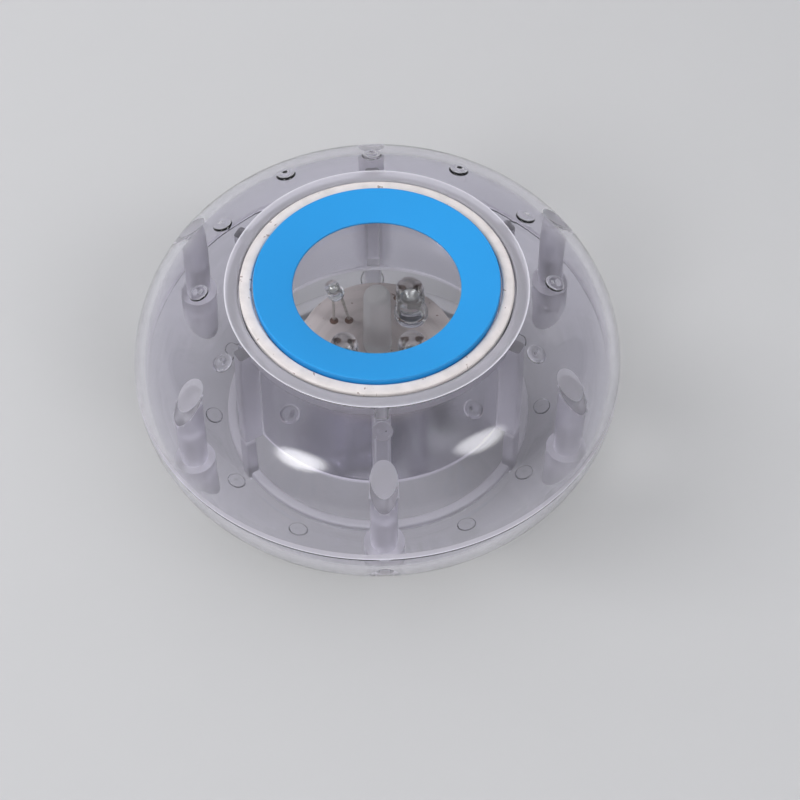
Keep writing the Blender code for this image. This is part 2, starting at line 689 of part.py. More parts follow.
def build_battery_cap():
    """Cap with a coin slot and bayonet lugs, its O-ring and the contact plate on its plug."""
    axis = joint_empty("battery_cap_axis", BATTERY_X)
    middle = (CAP_BOTTOM + CAP_TOP) / 2
    groove = ORING_WIRE + SNUG
    depth = CAP_RADIUS - 2 * ORING_WIRE
    outline = [
        (0.0, PLUG_TOP),
        (CAP_PLUG, PLUG_TOP),
        (CAP_PLUG, CAP_TOP),
        (CAP_RADIUS, CAP_TOP),
        (CAP_RADIUS, middle + groove),
        (depth, middle + groove),
        (depth, middle - groove),
        (CAP_RADIUS, middle - groove),
        (CAP_RADIUS, CAP_BOTTOM),
        (0.0, CAP_BOTTOM),
    ]
    cap = turned_part("battery_cap", outline, "clear_lilac", steps=40, parent=axis)

    def lugs(shape):
        for side in (-1, 1):
            near = side * (CAP_PLUG - WALL)
            far = side * LUG_RADIUS
            low = (-LUG_WIDTH / 2, min(near, far), LUG_BOTTOM)
            box(shape, low, (LUG_WIDTH / 2, max(near, far), LUG_TOP))

    def coin_slot(shape):
        reach = CAP_PLUG - COIN_SLOT_WIDTH / 2
        side = COIN_SLOT_WIDTH / 2
        box(shape, (-reach, -side, -WALL), (reach, side, CAP_BOTTOM + COIN_SLOT_DEPTH))

    combine(cap, tool("cap_lugs", mesh_from("cap_lugs", lugs), (BATTERY_X, 0.0, 0.0)), "UNION")
    combine(cap, tool("coin_slot", mesh_from("coin_slot", coin_slot), (BATTERY_X, 0.0, 0.0)), "DIFFERENCE")

    ring = []
    for index in range(8):
        angle = -index * math.tau / 8
        ring.append((
            depth + SNUG + ORING_WIRE * (1.0 + math.cos(angle)),
            middle + ORING_WIRE * math.sin(angle)))
    turned_part("cap_oring", ring, "black_rubber", closed=True, steps=40, parent=axis)

    radius = CAP_PLUG - FIT
    plate = [(0.0, CONTACT_TOP), (radius, CONTACT_TOP), (radius, CONTACT_BOTTOM), (0.0, CONTACT_BOTTOM)]
    turned_part("cap_contact", plate, "plated_steel", steps=24, parent=axis)


def build_power_button():
    """Soft button in the floor, the switch's long plunger and the switch on the board."""
    axis = joint_empty("power_button_axis", BUTTON_X)
    flange_low = WALL + FIT
    flange_top = flange_low + WALL / 2
    stem_top = flange_top + WALL
    crown = BUTTON_RADIUS / 6
    outline = [
        (0.0, stem_top),
        (PLUNGER_RADIUS + crown, stem_top),
        (PLUNGER_RADIUS + crown, flange_top),
        (BUTTON_FLANGE, flange_top),
        (BUTTON_FLANGE, flange_low),
        (BUTTON_RADIUS, flange_low),
        (BUTTON_RADIUS, BUTTON_RECESS + crown),
        (BUTTON_RADIUS - crown, BUTTON_RECESS + crown / 4),
        (0.0, BUTTON_RECESS),
    ]
    turned_part("power_button", outline, "white_silicone", steps=24, parent=axis)

    switch_low = BOARD_BOTTOM - SNUG - SWITCH_HEIGHT
    plunger_top = switch_low + BUTTON_TRAVEL
    plunger = [
        (0.0, plunger_top),
        (PLUNGER_RADIUS, plunger_top),
        (PLUNGER_RADIUS, stem_top + SNUG),
        (0.0, stem_top + SNUG),
    ]
    turned_part("switch_plunger", plunger, "black_plastic", steps=16, parent=axis)

    def body(shape):
        half = SWITCH_SIZE / 2
        box(shape, (BUTTON_X - half, -half, switch_low), (BUTTON_X + half, half, BOARD_BOTTOM - SNUG))

    def well(shape):
        top = plunger_top + BUTTON_TRAVEL + FIT
        rod(shape, BUTTON_X, 0.0, PLUNGER_RADIUS + FIT, switch_low - WALL, top)

    switch = part("tact_switch", mesh_from("tact_switch", body), "black_plastic")
    combine(switch, tool("switch_well", mesh_from("switch_well", well)), "DIFFERENCE")


for old in list(bpy.data.objects):
    bpy.data.objects.remove(old, do_unlink=True)
PARTS = collection("floating_pool_light")
TOOLS = collection("cutters")

build_upper_shell()
build_lower_shell()
build_rim_seal()
build_shell_screws()
build_window()
build_board()
build_leds()
build_centre_post()
build_batteries()
build_battery_cap()
build_power_button()
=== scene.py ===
"""Looks of the floating pool light: clear shells, blue bezel, lamps, board and battery gear."""
import math

import bmesh
import bpy
import numpy as np
from mathutils import Matrix, Vector


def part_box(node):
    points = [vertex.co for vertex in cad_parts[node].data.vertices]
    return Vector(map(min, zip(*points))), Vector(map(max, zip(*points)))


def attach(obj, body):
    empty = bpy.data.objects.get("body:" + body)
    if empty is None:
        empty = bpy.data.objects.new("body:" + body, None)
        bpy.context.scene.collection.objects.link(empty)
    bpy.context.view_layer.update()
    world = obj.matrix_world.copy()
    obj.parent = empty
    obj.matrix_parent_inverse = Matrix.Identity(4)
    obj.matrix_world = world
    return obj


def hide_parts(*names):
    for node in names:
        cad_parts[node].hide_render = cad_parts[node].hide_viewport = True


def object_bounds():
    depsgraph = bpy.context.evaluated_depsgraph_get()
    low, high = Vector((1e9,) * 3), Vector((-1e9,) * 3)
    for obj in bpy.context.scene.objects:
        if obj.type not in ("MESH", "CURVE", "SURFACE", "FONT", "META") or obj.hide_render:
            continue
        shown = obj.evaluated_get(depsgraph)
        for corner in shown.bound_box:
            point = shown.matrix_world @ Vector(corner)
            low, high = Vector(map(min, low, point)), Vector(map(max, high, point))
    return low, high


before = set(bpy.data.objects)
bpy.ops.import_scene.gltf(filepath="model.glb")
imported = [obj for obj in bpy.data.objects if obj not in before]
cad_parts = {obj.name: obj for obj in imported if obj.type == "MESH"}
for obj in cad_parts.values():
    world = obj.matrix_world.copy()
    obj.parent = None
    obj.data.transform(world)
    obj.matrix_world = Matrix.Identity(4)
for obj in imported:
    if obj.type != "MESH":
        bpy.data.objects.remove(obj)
CAD_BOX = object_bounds()

bl_info = {
    "name": "Floating pool light",
    "version": (1, 0, 0),
    "blender": (4, 5, 0),
    "location": "View3D > Sidebar > Pool light",
    "description": "Builds the dressed pieces of a clear floating pool light",
    "category": "Object",
}

MM = 0.001
TAU = math.tau


def low(node):
    """Lowest corner of a CAD node."""
    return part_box(node)[0]


def high(node):
    """Highest corner of a CAD node."""
    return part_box(node)[1]


def middle(node):
    """Middle of a CAD node's box."""
    return (Vector(low(node)) + Vector(high(node))) / 2


def extent(node):
    """Size of a CAD node's box."""
    return Vector(high(node)) - Vector(low(node))


def levels(node):
    """Lowest and highest level of a CAD node."""
    return low(node)[2], high(node)[2]


def radius_about(axis, node):
    """Radius of a round CAD node about its upright axis."""
    return high(node)[0] - axis.x


# Levels and radii read from the frame
RIM = high("upper_shell")[0]
TOP = high("upper_shell")[2]
FOOT = low("upper_shell")[2]
LENS_LOW, LENS_HIGH = levels("window_lens")
LENS_RADIUS = high("window_lens")[0]
GASKET_TOP = high("window_gasket")[2]
BEZEL_RADIUS = high("bezel_ring")[0]
BASE, BEZEL_TOP = levels("bezel_ring")
BOARD_LOW, BOARD_HIGH = levels("circuit_board")
BOARD_RADIUS = high("circuit_board")[0]
CAP_AXIS = Vector((middle("battery_cap").x, 0.0, 0.0))
BUTTON_AXIS = Vector((middle("power_button").x, 0.0, 0.0))

# Lamps: standard 5 mm ones, except that the first has a small head which stands high and leans
LAMP_OUT = 5.9 * MM
LAMP_RADIUS = 2.5 * MM
LAMP_FLANGE = 2.9 * MM
LAMP_LENGTH = 8.4 * MM
LAMP_STAND = 1.0 * MM
RAISED_STAND = 4.2 * MM
RAISED_LEAN = math.radians(16.0)
RAISED_SCALE = 0.52
LEAD_HALF = 1.27 * MM
LEAD_RADIUS = 0.25 * MM

# Bores for the screws, recesses for their heads, standoffs under the board and the cap's lugs
BORE_RADIUS = 1.5 * MM
BORE_DEPTH = 7.3 * MM
RECESS_RADIUS = 2.6 * MM
RECESS_DEPTH = 5.6 * MM
STANDOFF_CIRCLE = 11.5 * MM
STANDOFF_RADIUS = 1.6 * MM
LUG_HEIGHT = 0.8 * MM

# Marks on the shells' faces: a hazy hub wall, hazy thick forms, and thin lines with a painted highlight in
# white
WALL_HAZE = 0.35
THICK_HAZE = 1.0
PAINTED_HIGHLIGHT = 2.0


def length(name, description, default):
    """Length setting whose default is given in millimetres."""
    return bpy.props.FloatProperty(name=name, description=description, default=default * MM, unit="LENGTH")


def swatch(name, description, default):
    """Colour setting."""
    return bpy.props.FloatVectorProperty(name=name, description=description, default=default, subtype="COLOR")


class FloatSizes(bpy.types.PropertyGroup):
    """Sizes of the clear float that the frame's boxes don't give."""
    wall: length("Wall", "Thickness of the clear shells", 1.8)
    fit: length("Fit", "Gap between neighbouring pieces", 0.3)
    rim_height: length("Rim height", "Height of the parting line", 17.8)
    hub_wall: length("Hub wall", "Thickness of the hub's walls", 1.9)
    ledge: length("Ledge", "Width of the window's ledge", 1.6)
    hub_drop: length("Hub drop", "How far the hub wall hangs below the parting line", 4.8)
    ridge_gap: length("Ridge gap", "Gap from the hub wall to the low ridge round it, seen from above", 1.2)
    ridge_top: length("Ridge top", "Height of the low ridge on the floor", 3.4)
    rib: length("Rib", "Thickness of a hub rib", 2.6)
    rib_reach: length("Rib reach", "How far a rib stands out of the ridge", 0.6)
    post_radius: length("Post radius", "Radius of a screw post", 2.45)
    socket_radius: length("Socket radius", "Radius of a screw socket", 3.65)
    bump_radius: length("Bump radius", "Radius of a moulded bump", 1.85)
    bump_height: length("Bump height", "Height of a moulded bump", 0.55)
    upper_bump_out: length("Upper bumps", "Upper bumps' distance outside the flat top", 5.1)
    lower_bump_out: length("Lower bumps", "Lower bumps' distance outside the flat underside", 4.5)


class Colours(bpy.types.PropertyGroup):
    """Colours of the finishes."""
    clear: swatch("Clear", "Tint of the clear shells", (0.905, 0.895, 0.95))
    # This tint also colours the thin lines on the shells, which are a painted highlight in white
    milky_and_highlight: swatch("Milky", "Tint of the shells' thick posts and ribs", (0.90, 0.88, 0.96))
    blue: swatch("Blue", "Bezel colour", (0.022, 0.335, 0.79))
    white: swatch("White", "Gasket colour", (0.80, 0.745, 0.735))
    board: swatch("Board", "Board colour", (0.76, 0.68, 0.70))
    floor: swatch("Floor", "Floor colour", (0.62, 0.62, 0.63))


def sizes():
    """The float's sizes."""
    return bpy.context.scene.pool_light_sizes


def colours():
    """The finishes' colours."""
    return bpy.context.scene.pool_light_colours


class Flow:
    """A node output that takes part in Python expressions: arithmetic on it adds Math nodes."""

    def __init__(self, shade, socket):
        self.shade = shade
        self.socket = socket

    def maths(self, operation, first, second):
        """Math node of two values."""
        return self.shade.add("ShaderNodeMath", {"operation": operation}, {0: first, 1: second})

    def __add__(self, other):
        return self.maths("ADD", self, other)

    def __radd__(self, other):
        return self.maths("ADD", other, self)

    def __sub__(self, other):
        return self.maths("SUBTRACT", self, other)

    def __rsub__(self, other):
        return self.maths("SUBTRACT", other, self)

    def __mul__(self, other):
        return self.maths("MULTIPLY", self, other)

    def __rmul__(self, other):
        return self.maths("MULTIPLY", other, self)

    def __gt__(self, other):
        return self.maths("GREATER_THAN", self, other)


class Shade:
    """Node tree of a material or a world: nodes are added by type, and the surface's inputs are set last."""

    def __init__(self, owner, surface="Principled BSDF"):
        owner.use_nodes = True
        self.owner = owner
        self.tree = owner.node_tree
        self.surface = self.tree.nodes[surface]

    def put(self, socket, value):
        """Link a flow into a socket or set the socket's own value."""
        if isinstance(value, Flow):
            self.tree.links.new(value.socket, socket)
        else:
            socket.default_value = value

    def add(self, kind, settings=None, sockets=None, output=0):
        """Node of a type: its settings are made first, such as a ramp's stops, then its sockets' values or
        links."""
        node = self.tree.nodes.new(kind)
        for name, value in (settings or {}).items():
            if name == "stops":
                for stop, (place, shade) in zip(node.color_ramp.elements, value):
                    stop.position = place
                    stop.color = shade
            else:
                setattr(node, name, value)
        for name, value in (sockets or {}).items():
            self.put(node.inputs[name], value)
        return Flow(self, node.outputs[output])

    def place(self):
        """Object coordinates."""
        return self.add("ShaderNodeTexCoord", output="Object")

    def noise(self, scale, detail=2.0, stretch=None):
        """Noise on Object coordinates, stretched along the axes where asked."""
        where = self.place()
        if stretch:
            where = self.add("ShaderNodeMapping", None, {"Vector": where, "Scale": stretch})
        return self.add(
            "ShaderNodeTexNoise", None, {"Vector": where, "Scale": scale, "Detail": detail}, "Fac")

    def mix(self, share, first, second):
        """Colour between two colours."""
        return self.add(
            "ShaderNodeMix", {"data_type": "RGBA"}, {0: share, 6: first, 7: second}, 2)

    def vectors(self, operation, first, second=(0.0, 0.0, 0.0), output="Vector"):
        """Vector Math node of two vectors."""
        return self.add("ShaderNodeVectorMath", {"operation": operation}, {0: first, 1: second}, output)

    def bump(self, height, strength, distance):
        """Normal from a height."""
        return self.add(
            "ShaderNodeBump", None, {"Height": height, "Strength": strength, "Distance": distance})

    def finish(self, **inputs):
        """Set the surface's inputs, where an underscore in a name stands for a space."""
        for name, value in inputs.items():
            self.put(self.surface.inputs[name.replace("_", " ")], value)
        return self.owner


def new_finish(name):
    """Node tree of a new material."""
    return Shade(bpy.data.materials.new(name))


def rgba(colour, gain=1.0):
    """Four-part colour, brightened or darkened."""
    return (*[min(part * gain, 1.0) for part in colour], 1.0)


def clear_plastic(name, tint, ripple=0.05, roughness=0.012, ior=1.49, clarity=1.0):
    """Clear moulded plastic: faint flow ripples and a light tint."""
    shade = new_finish(name)
    flow = shade.noise(70.0, 2.0)
    return shade.finish(
        Base_Color=shade.mix(flow, rgba(tint), rgba(tint, 0.975)),
        Roughness=roughness + shade.noise(260.0, 4.0) * 0.03,
        Normal=shade.bump(flow, ripple, 0.0006),
        Transmission_Weight=clarity,
        IOR=ior)


def over_posts(shade):
    """1 close to a post's axis and 0 elsewhere: the coordinates are folded into one quarter, where posts
    stand at 90 and at 30 degrees, and the nearer axis counts."""
    level = shade.vectors("MULTIPLY", shade.vectors("ABSOLUTE", shade.place()), (1.0, 1.0, 0.0))
    away = []
    for turned in (math.pi / 2, math.pi / 6):
        axis = (post_circle() * math.cos(turned), post_circle() * math.sin(turned), 0.0)
        away.append(shade.vectors("DISTANCE", level, axis, "Value"))
    return 1.0 - (away[0].maths("MINIMUM", away[0], away[1]) > 0.97 * sizes().post_radius)


def shell_plastic(name, tint, milky_and_highlight):
    """Clear plastic of the shells, rough and cloudy over the posts and on the faces marked as hazy, with a
    painted highlight in white on the faces marked as highlight lines.
    """
    shade = new_finish(name)
    flow = shade.noise(70.0, 2.0)
    mark = shade.add("ShaderNodeAttribute", {"attribute_name": "haze_and_highlight"}, None, "Fac")
    tops = over_posts(shade)
    haze_and_highlight = mark.maths("MAXIMUM", mark, tops * 0.7)
    clear = shade.mix(flow, rgba(tint), rgba(tint, 0.975))
    shade.finish(
        Base_Color=shade.mix(haze_and_highlight, clear, rgba(milky_and_highlight)),
        Roughness=0.012 + shade.noise(260.0, 4.0) * 0.03 + haze_and_highlight * 0.5,
        Normal=shade.bump(flow, 0.05, 0.0006),
        Transmission_Weight=1.0,
        IOR=1.49)
    milk_and_highlight = shade.add("ShaderNodeBsdfPrincipled", None, {"Base Color": rgba(milky_and_highlight), "Roughness": 0.35})
    glass = Flow(shade, shade.surface.outputs["BSDF"])
    # White diffuse share: 0.3 on the hazy thick forms, 0.8 on the painted highlight lines, 0.18 over the post
    # tops
    share = (mark > THICK_HAZE / 2) * 0.3 + (mark > (THICK_HAZE + PAINTED_HIGHLIGHT) / 2) * 0.5 + tops * 0.18
    blend = shade.add("ShaderNodeMixShader", None, {0: share, 1: glass, 2: milk_and_highlight})
    shade.put(shade.tree.nodes["Material Output"].inputs["Surface"], blend)
    return shade.owner


def moulded(name, colour, roughness, grain=0.08, speck=0.0, scale=900.0):
    """Opaque moulding: slight shade drift, fine grain and, where asked, small warm specks."""
    shade = new_finish(name)
    drift = shade.noise(45.0, 3.0)
    fine = shade.noise(scale * 2.4, 3.0)
    body = shade.mix(drift, rgba(colour, 0.95), rgba(colour, 1.04))
    if speck:
        blotch = (shade.noise(scale / 2, 3.0) - 0.35) * 3.3
        body = shade.mix(blotch, rgba(colour, 0.9), rgba(colour, 1.03))
        dots = shade.noise(scale, 4.0) > 1.0 - speck
        dark = [part * share for part, share in zip(colour, (0.52, 0.45, 0.43))]
        body = shade.mix(dots, body, rgba(dark))
    return shade.finish(
        Base_Color=body,
        Roughness=roughness + (fine - 0.5) * 0.16,
        Normal=shade.bump(fine, grain, 0.0001))


def metal(name, colour, roughness, stretch=(1.0, 1.0, 14.0)):
    """Bright metal with fine drawn lines and a slight stain."""
    shade = new_finish(name)
    lines = shade.noise(500.0, 2.0, stretch)
    stain = shade.noise(160.0, 3.0)
    return shade.finish(
        Base_Color=shade.mix(stain, rgba(colour), rgba(colour, 0.78)),
        Roughness=roughness + lines * 0.14,
        Normal=shade.bump(lines, 0.08, 0.00005),
        Metallic=1.0)


def board_finish(name, colour):
    """White solder resist over faint raised tracks, with small scorched flux marks."""
    shade = new_finish(name)
    where = shade.place()
    rings = shade.add(
        "ShaderNodeTexWave", {"wave_type": "RINGS", "rings_direction": "Z"},
        {"Vector": where, "Scale": 130.0, "Distortion": 5.0, "Detail": 1.0}, "Fac")
    tracks = rings > 0.72
    marks = shade.noise(700.0, 3.0) > 0.68
    base = shade.mix(tracks * 0.5, rgba(colour), rgba(colour, 0.86))
    return shade.finish(
        Base_Color=shade.mix(marks * 0.8, base, (0.17, 0.075, 0.05, 1.0)),
        Roughness=0.34 + shade.noise(600.0) * 0.12,
        Normal=shade.bump(tracks, 0.25, 0.00005))


FINISHES = {
    "clear": lambda: shell_plastic("clear_float_plastic", colours().clear, colours().milky_and_highlight),
    "window": lambda: clear_plastic("clear_window_plastic", (0.97, 0.975, 0.99), 0.02),
    "lamp": lambda: clear_plastic("clear_lamp_resin", (0.95, 0.97, 1.0), 0.03, 0.02, 1.53),
    "seal": lambda: clear_plastic("frosted_seal", (0.92, 0.92, 0.96), 0.08, 0.22, 1.42),
    "frosted": lambda: clear_plastic("frosted_post", (0.95, 0.94, 0.97), 0.05, 0.3, 1.49, 0.82),
    "blue": lambda: moulded("satin_blue", colours().blue, 0.48, 0.06),
    "white": lambda: moulded("specked_white", colours().white, 0.75, 0.3, 0.31, 800.0),
    "board": lambda: board_finish("white_board", colours().board),
    "black": lambda: moulded("black_moulding", (0.022, 0.022, 0.024), 0.42, 0.15),
    "black_rubber": lambda: moulded("black_rubber", (0.018, 0.018, 0.019), 0.62, 0.2),
    "silicone": lambda: moulded("white_silicone", (0.74, 0.75, 0.77), 0.52, 0.12),
    "nickel": lambda: metal("nickel_plate", (0.66, 0.64, 0.60), 0.2),
    "tin": lambda: metal("tinned_wire", (0.72, 0.71, 0.68), 0.22),
    "can": lambda: metal("cell_can", (0.68, 0.68, 0.67), 0.16, (1.0, 1.0, 30.0)),
    "solder": lambda: moulded("scorched_solder", (0.13, 0.06, 0.04), 0.34, 0.2),
}
CLEAR_FINISHES = ("clear", "window", "lamp", "seal", "frosted")
LOOKS = {}


def look(name):
    """The named finish, made once."""
    if name not in LOOKS:
        LOOKS[name] = FINISHES[name]()
    return LOOKS[name]


def grid(rows, columns, close_rows=False, close_columns=True):
    """Quads over a grid of points in row order, wrapped round where asked."""
    row = np.arange(rows if close_rows else rows - 1)
    column = np.arange(columns if close_columns else columns - 1)
    i, j = np.meshgrid(row, column, indexing="ij")
    k = (i + 1) % rows
    m = (j + 1) % columns
    quads = np.stack([i * columns + j, k * columns + j, k * columns + m, i * columns + m], -1)
    return quads.reshape(-1, 4)


def softened(points, radius, closed=False, count=4):
    """Profile with its corners rounded: each corner becomes a quadratic curve between points that lie
    a radius away from it on its two sides, or 0.45 of a shorter side."""
    points = [np.array(point, float) for point in points]
    result = []
    total = len(points)
    for index, point in enumerate(points):
        if not closed and index in (0, total - 1):
            result.append(point[None])
            continue
        before = points[index - 1] - point
        after = points[(index + 1) % total] - point
        ends = []
        for side in (before, after):
            span = np.linalg.norm(side)
            ends.append(point + side / span * min(radius, 0.45 * span))
        t = np.linspace(0.0, 1.0, count)[:, None]
        result.append((1 - t) ** 2 * ends[0] + 2 * t * (1 - t) * point + t ** 2 * ends[1])
    return np.concatenate(result)


def disc(radius, bottom, top, edge, count=4):
    """Profile of a round plate or bar with softened edges, from the top's middle to the underside's."""
    return softened([(0.0, top), (radius, top), (radius, bottom), (0.0, bottom)], edge, count=count)


def ring(inner, outer, bottom, top, edge):
    """Closed profile of a flat ring with softened edges."""
    return softened([(inner, top), (outer, top), (outer, bottom), (inner, bottom)], edge, closed=True)


def lathe(profile, steps=96, closed=False, centre=(0.0, 0.0, 0.0)):
    """Turned surface: x = r cos a, y = r sin a, z = z for every profile point and angle a."""
    profile = np.asarray(profile, float)
    angle = np.arange(steps) * TAU / steps
    r = profile[:, :1]
    points = np.stack([
        r * np.cos(angle) + centre[0],
        r * np.sin(angle) + centre[1],
        np.repeat(profile[:, 1:], steps, 1) + centre[2]], -1)
    return points.reshape(-1, 3), grid(len(profile), steps, close_rows=closed)


def tube(path, radius, sides=12):
    """Round tube: at each path point a ring of the radius lies square to the path's direction, and the
    ends close on the path's own end points."""
    path = np.asarray(path, float)
    ahead = np.gradient(path, axis=0)
    ahead /= np.linalg.norm(ahead, axis=1, keepdims=True)
    upright = abs(ahead[:, 2]).mean() > 0.5
    guide = np.array([0.31, 0.95, 0.05] if upright else [0.0, 0.0, 1.0])
    across = np.cross(ahead, guide)
    across /= np.linalg.norm(across, axis=1, keepdims=True)
    up = np.cross(across, ahead)
    angle = np.arange(sides) * TAU / sides
    around = across[:, None] * np.cos(angle)[None, :, None] + up[:, None] * np.sin(angle)[None, :, None]
    rings = path[:, None] + around * np.broadcast_to(np.asarray(radius), len(path))[:, None, None]
    first = np.repeat(path[:1, None], sides, 1)
    last = np.repeat(path[-1:, None], sides, 1)
    points = np.concatenate([first, rings, last])
    return points.reshape(-1, 3), grid(len(points), sides)


def block(size, centre, edge, turn=0.0):
    """Box with rounded upright corners and softened top and bottom: rings of a rounded rectangle at
    levels whose inset follows a quarter circle."""
    size = np.asarray(size, float)
    quarter = np.linspace(0.0, math.pi / 2, 4)
    inset = edge * (1 - np.sin(quarter))
    drop = edge * (1 - np.cos(quarter))
    levels = np.concatenate([-size[2] / 2 + drop, size[2] / 2 - drop[::-1]])
    insets = np.concatenate([inset, inset[::-1]])
    angle = (np.arange(4)[:, None] * math.pi / 2 + np.linspace(0.0, math.pi / 2, 4)[None]).ravel()
    corner = np.repeat([[1, 1], [-1, 1], [-1, -1], [1, -1]], 4, 0)
    rings = []
    for level, cut in zip(levels, insets):
        flat = corner * (size[:2] / 2 - edge) + (edge - cut) * np.stack([np.cos(angle), np.sin(angle)], -1)
        rings.append(np.column_stack([flat, np.full(len(flat), level)]))
    rings.insert(0, rings[0] * (0, 0, 1))
    rings.append(rings[-1] * (0, 0, 1))
    points = np.stack(rings)
    rows, columns, _ = points.shape
    c, s = math.cos(turn), math.sin(turn)
    points = points.reshape(-1, 3) @ np.array([[c, s, 0], [-s, c, 0], [0, 0, 1.0]])
    return points + np.asarray(centre), grid(rows, columns)


def joined(*shapes):
    """Several surfaces as one list of points and faces."""
    points = []
    faces = []
    start = 0
    for shape in shapes:
        points.append(shape[0])
        faces.append(shape[1] + start)
        start += len(shape[0])
    return np.concatenate(points), np.concatenate(faces)


def moved(shape, matrix):
    """Surface carried by a matrix."""
    matrix = np.array(matrix)
    return shape[0] @ matrix[:3, :3].T + matrix[:3, 3], shape[1]


def mesh_of(name, shape):
    """Mesh from points and faces, with its poles merged and its normals pointing out."""
    mesh = bpy.data.meshes.new(name)
    mesh.from_pydata(shape[0].tolist(), [], shape[1].tolist())
    work = bmesh.new()
    work.from_mesh(mesh)
    bmesh.ops.remove_doubles(work, verts=work.verts, dist=1e-7)
    bmesh.ops.dissolve_degenerate(work, edges=work.edges, dist=1e-8)
    bmesh.ops.recalc_face_normals(work, faces=work.faces)
    work.to_mesh(mesh)
    work.free()
    return mesh


def piece(name, shape, finish, body, nodes=(), angle=38.0):
    """Dressed piece: rides on its body and stands for its CAD nodes."""
    mesh = shape if isinstance(shape, bpy.types.Mesh) else mesh_of(name, shape)
    mesh.name = name
    mesh.shade_smooth()
    mesh.set_sharp_from_angle(angle=math.radians(angle))
    mesh.materials.clear()
    mesh.materials.append(look(finish))
    obj = bpy.data.objects.new(name, mesh)
    bpy.context.scene.collection.objects.link(obj)
    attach(obj, body)
    if nodes:
        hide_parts(*nodes)
    if finish in CLEAR_FINISHES:
        obj.visible_shadow = False
    return obj


def with_haze_and_highlight(mesh, rule):
    """Write on each face the mark that a rule gives for its middle, for the clear finish to read; the marks
    give haziness and the painted highlight lines.
    """
    centres = np.empty(len(mesh.polygons) * 3)
    mesh.polygons.foreach_get("center", centres)
    x, y, z = centres.reshape(-1, 3).T
    mark = mesh.attributes.new("haze_and_highlight", "FLOAT", "FACE")
    mark.data.foreach_set("value", rule(x, y, z).astype(np.float32))
    return mesh


def beside_spokes(x, y):
    """Distance along and across the nearest of the six spokes on which the posts and ribs stand."""
    radius = np.hypot(x, y)
    angle = np.arctan2(y, x) % (TAU / 6) - TAU / 12
    return radius * np.cos(angle), radius * np.sin(angle)


def carved(shape, steps):
    """Mesh of a surface after joining further surfaces to it and cutting others out of it, in order."""
    objects = []
    for index, (operation, other) in enumerate([("BASE", shape)] + steps):
        obj = bpy.data.objects.new(f"work_{index}", mesh_of(f"work_{index}", other))
        bpy.context.scene.collection.objects.link(obj)
        objects.append(obj)
        if index:
            step = objects[0].modifiers.new("step", "BOOLEAN")
            step.operation = operation
            step.object = obj
            step.solver = "EXACT"
    bpy.context.view_layer.update()
    graph = bpy.context.evaluated_depsgraph_get()
    mesh = bpy.data.meshes.new_from_object(objects[0].evaluated_get(graph))
    for obj in objects:
        bpy.data.objects.remove(obj, do_unlink=True)
    return mesh


def spread(count, radius, start=0.0):
    """Angles and places of things spaced evenly on a circle."""
    angle = start + np.arange(count) * TAU / count
    return list(zip(angle, radius * np.cos(angle), radius * np.sin(angle)))


def quarter_arc(centre, width, rise, start, end, count=28):
    """Ellipse points: r = centre + width cos t, z = level + rise sin t."""
    t = np.linspace(start, end, count)
    return np.column_stack([centre[0] + width * np.cos(t), centre[1] + rise * np.sin(t)])


def flat_radius():
    """Radius at which the domes start to fall away from the flat top and underside."""
    return LENS_RADIUS + sizes().fit + sizes().hub_wall


def dome(radius, skin=0.0):
    """Height of the upper dome at a radius, skin below its outside: an ellipse down to the rim."""
    rim = sizes().rim_height
    width = RIM - flat_radius() - skin
    share = np.clip((np.asarray(radius) - flat_radius()) / width, 0.0, 1.0)
    return rim + (TOP - rim - skin) * np.sqrt(1.0 - share ** 2)


def dish(radius, skin=0.0):
    """Height of the lower dish at a radius, skin above its outside: an ellipse up to the rim."""
    rim = sizes().rim_height
    width = RIM - flat_radius() - skin
    share = np.clip((np.asarray(radius) - flat_radius()) / width, 0.0, 1.0)
    return rim - (rim - skin) * np.sqrt(1.0 - share ** 2)


def column(x, y, radius, bottom, top, sides=40):
    """Upright round bar whose ends may follow a height that depends on the distance from the middle."""
    angle = np.arange(sides) * TAU / sides
    reach = np.array([0.0, 1.0, 1.0, 0.0])[:, None] * radius
    px = x + reach * np.cos(angle)
    py = y + reach * np.sin(angle)
    far = np.hypot(px, py)
    ends = [end(far) if callable(end) else np.full(far.shape, end) for end in (bottom, top)]
    pz = np.concatenate([ends[0][:2], ends[1][2:]])
    return np.stack([px, py, pz], -1).reshape(-1, 3), grid(4, sides)


def bump_shape(size):
    """Moulded bump about the origin: a low dome h sqrt(1 - q q) with a dimple, over a short skirt."""
    q = np.linspace(0.0, 1.0, 12)
    crown = size.bump_height * np.sqrt(1.0 - q ** 2) - 0.55 * size.bump_height * np.exp(-(q / 0.42) ** 2)
    profile = np.column_stack([q * size.bump_radius, crown])
    skirt = size.wall * 0.4
    profile = np.concatenate([profile, [[size.bump_radius, -skirt], [0.0, -skirt]]])
    return lathe(profile, 28)


def bump_ring(size, circle, height, side):
    """Twelve bumps on a dome, each square to its surface; side is 1 on top and -1 below."""
    step = 0.1 * MM
    slope = math.atan2(float(height(circle - step) - height(circle + step)), 2 * step)
    shapes = []
    for angle, x, y in spread(12, circle, -math.pi / 2):
        tilt = Matrix.Rotation(angle, 4, "Z") @ Matrix.Rotation(slope, 4, "Y")
        if side < 0:
            tilt = tilt @ Matrix.Rotation(math.pi, 4, "X")
        shapes.append(moved(bump_shape(size), Matrix.Translation((x, y, float(height(circle)))) @ tilt))
    return joined(*shapes)


def hub_radii(size):
    """Inner and outer radius of the hub wall, then of the low ridge on the floor round it."""
    inner = LENS_RADIUS + size.fit - size.ledge
    outer = inner + size.hub_wall
    ridge = outer + size.ridge_gap
    return inner, outer, ridge, ridge + size.hub_wall


def post_circle():
    """Radius on which the screws stand."""
    return math.hypot(middle("shell_screw_1").x, middle("shell_screw_1").y)


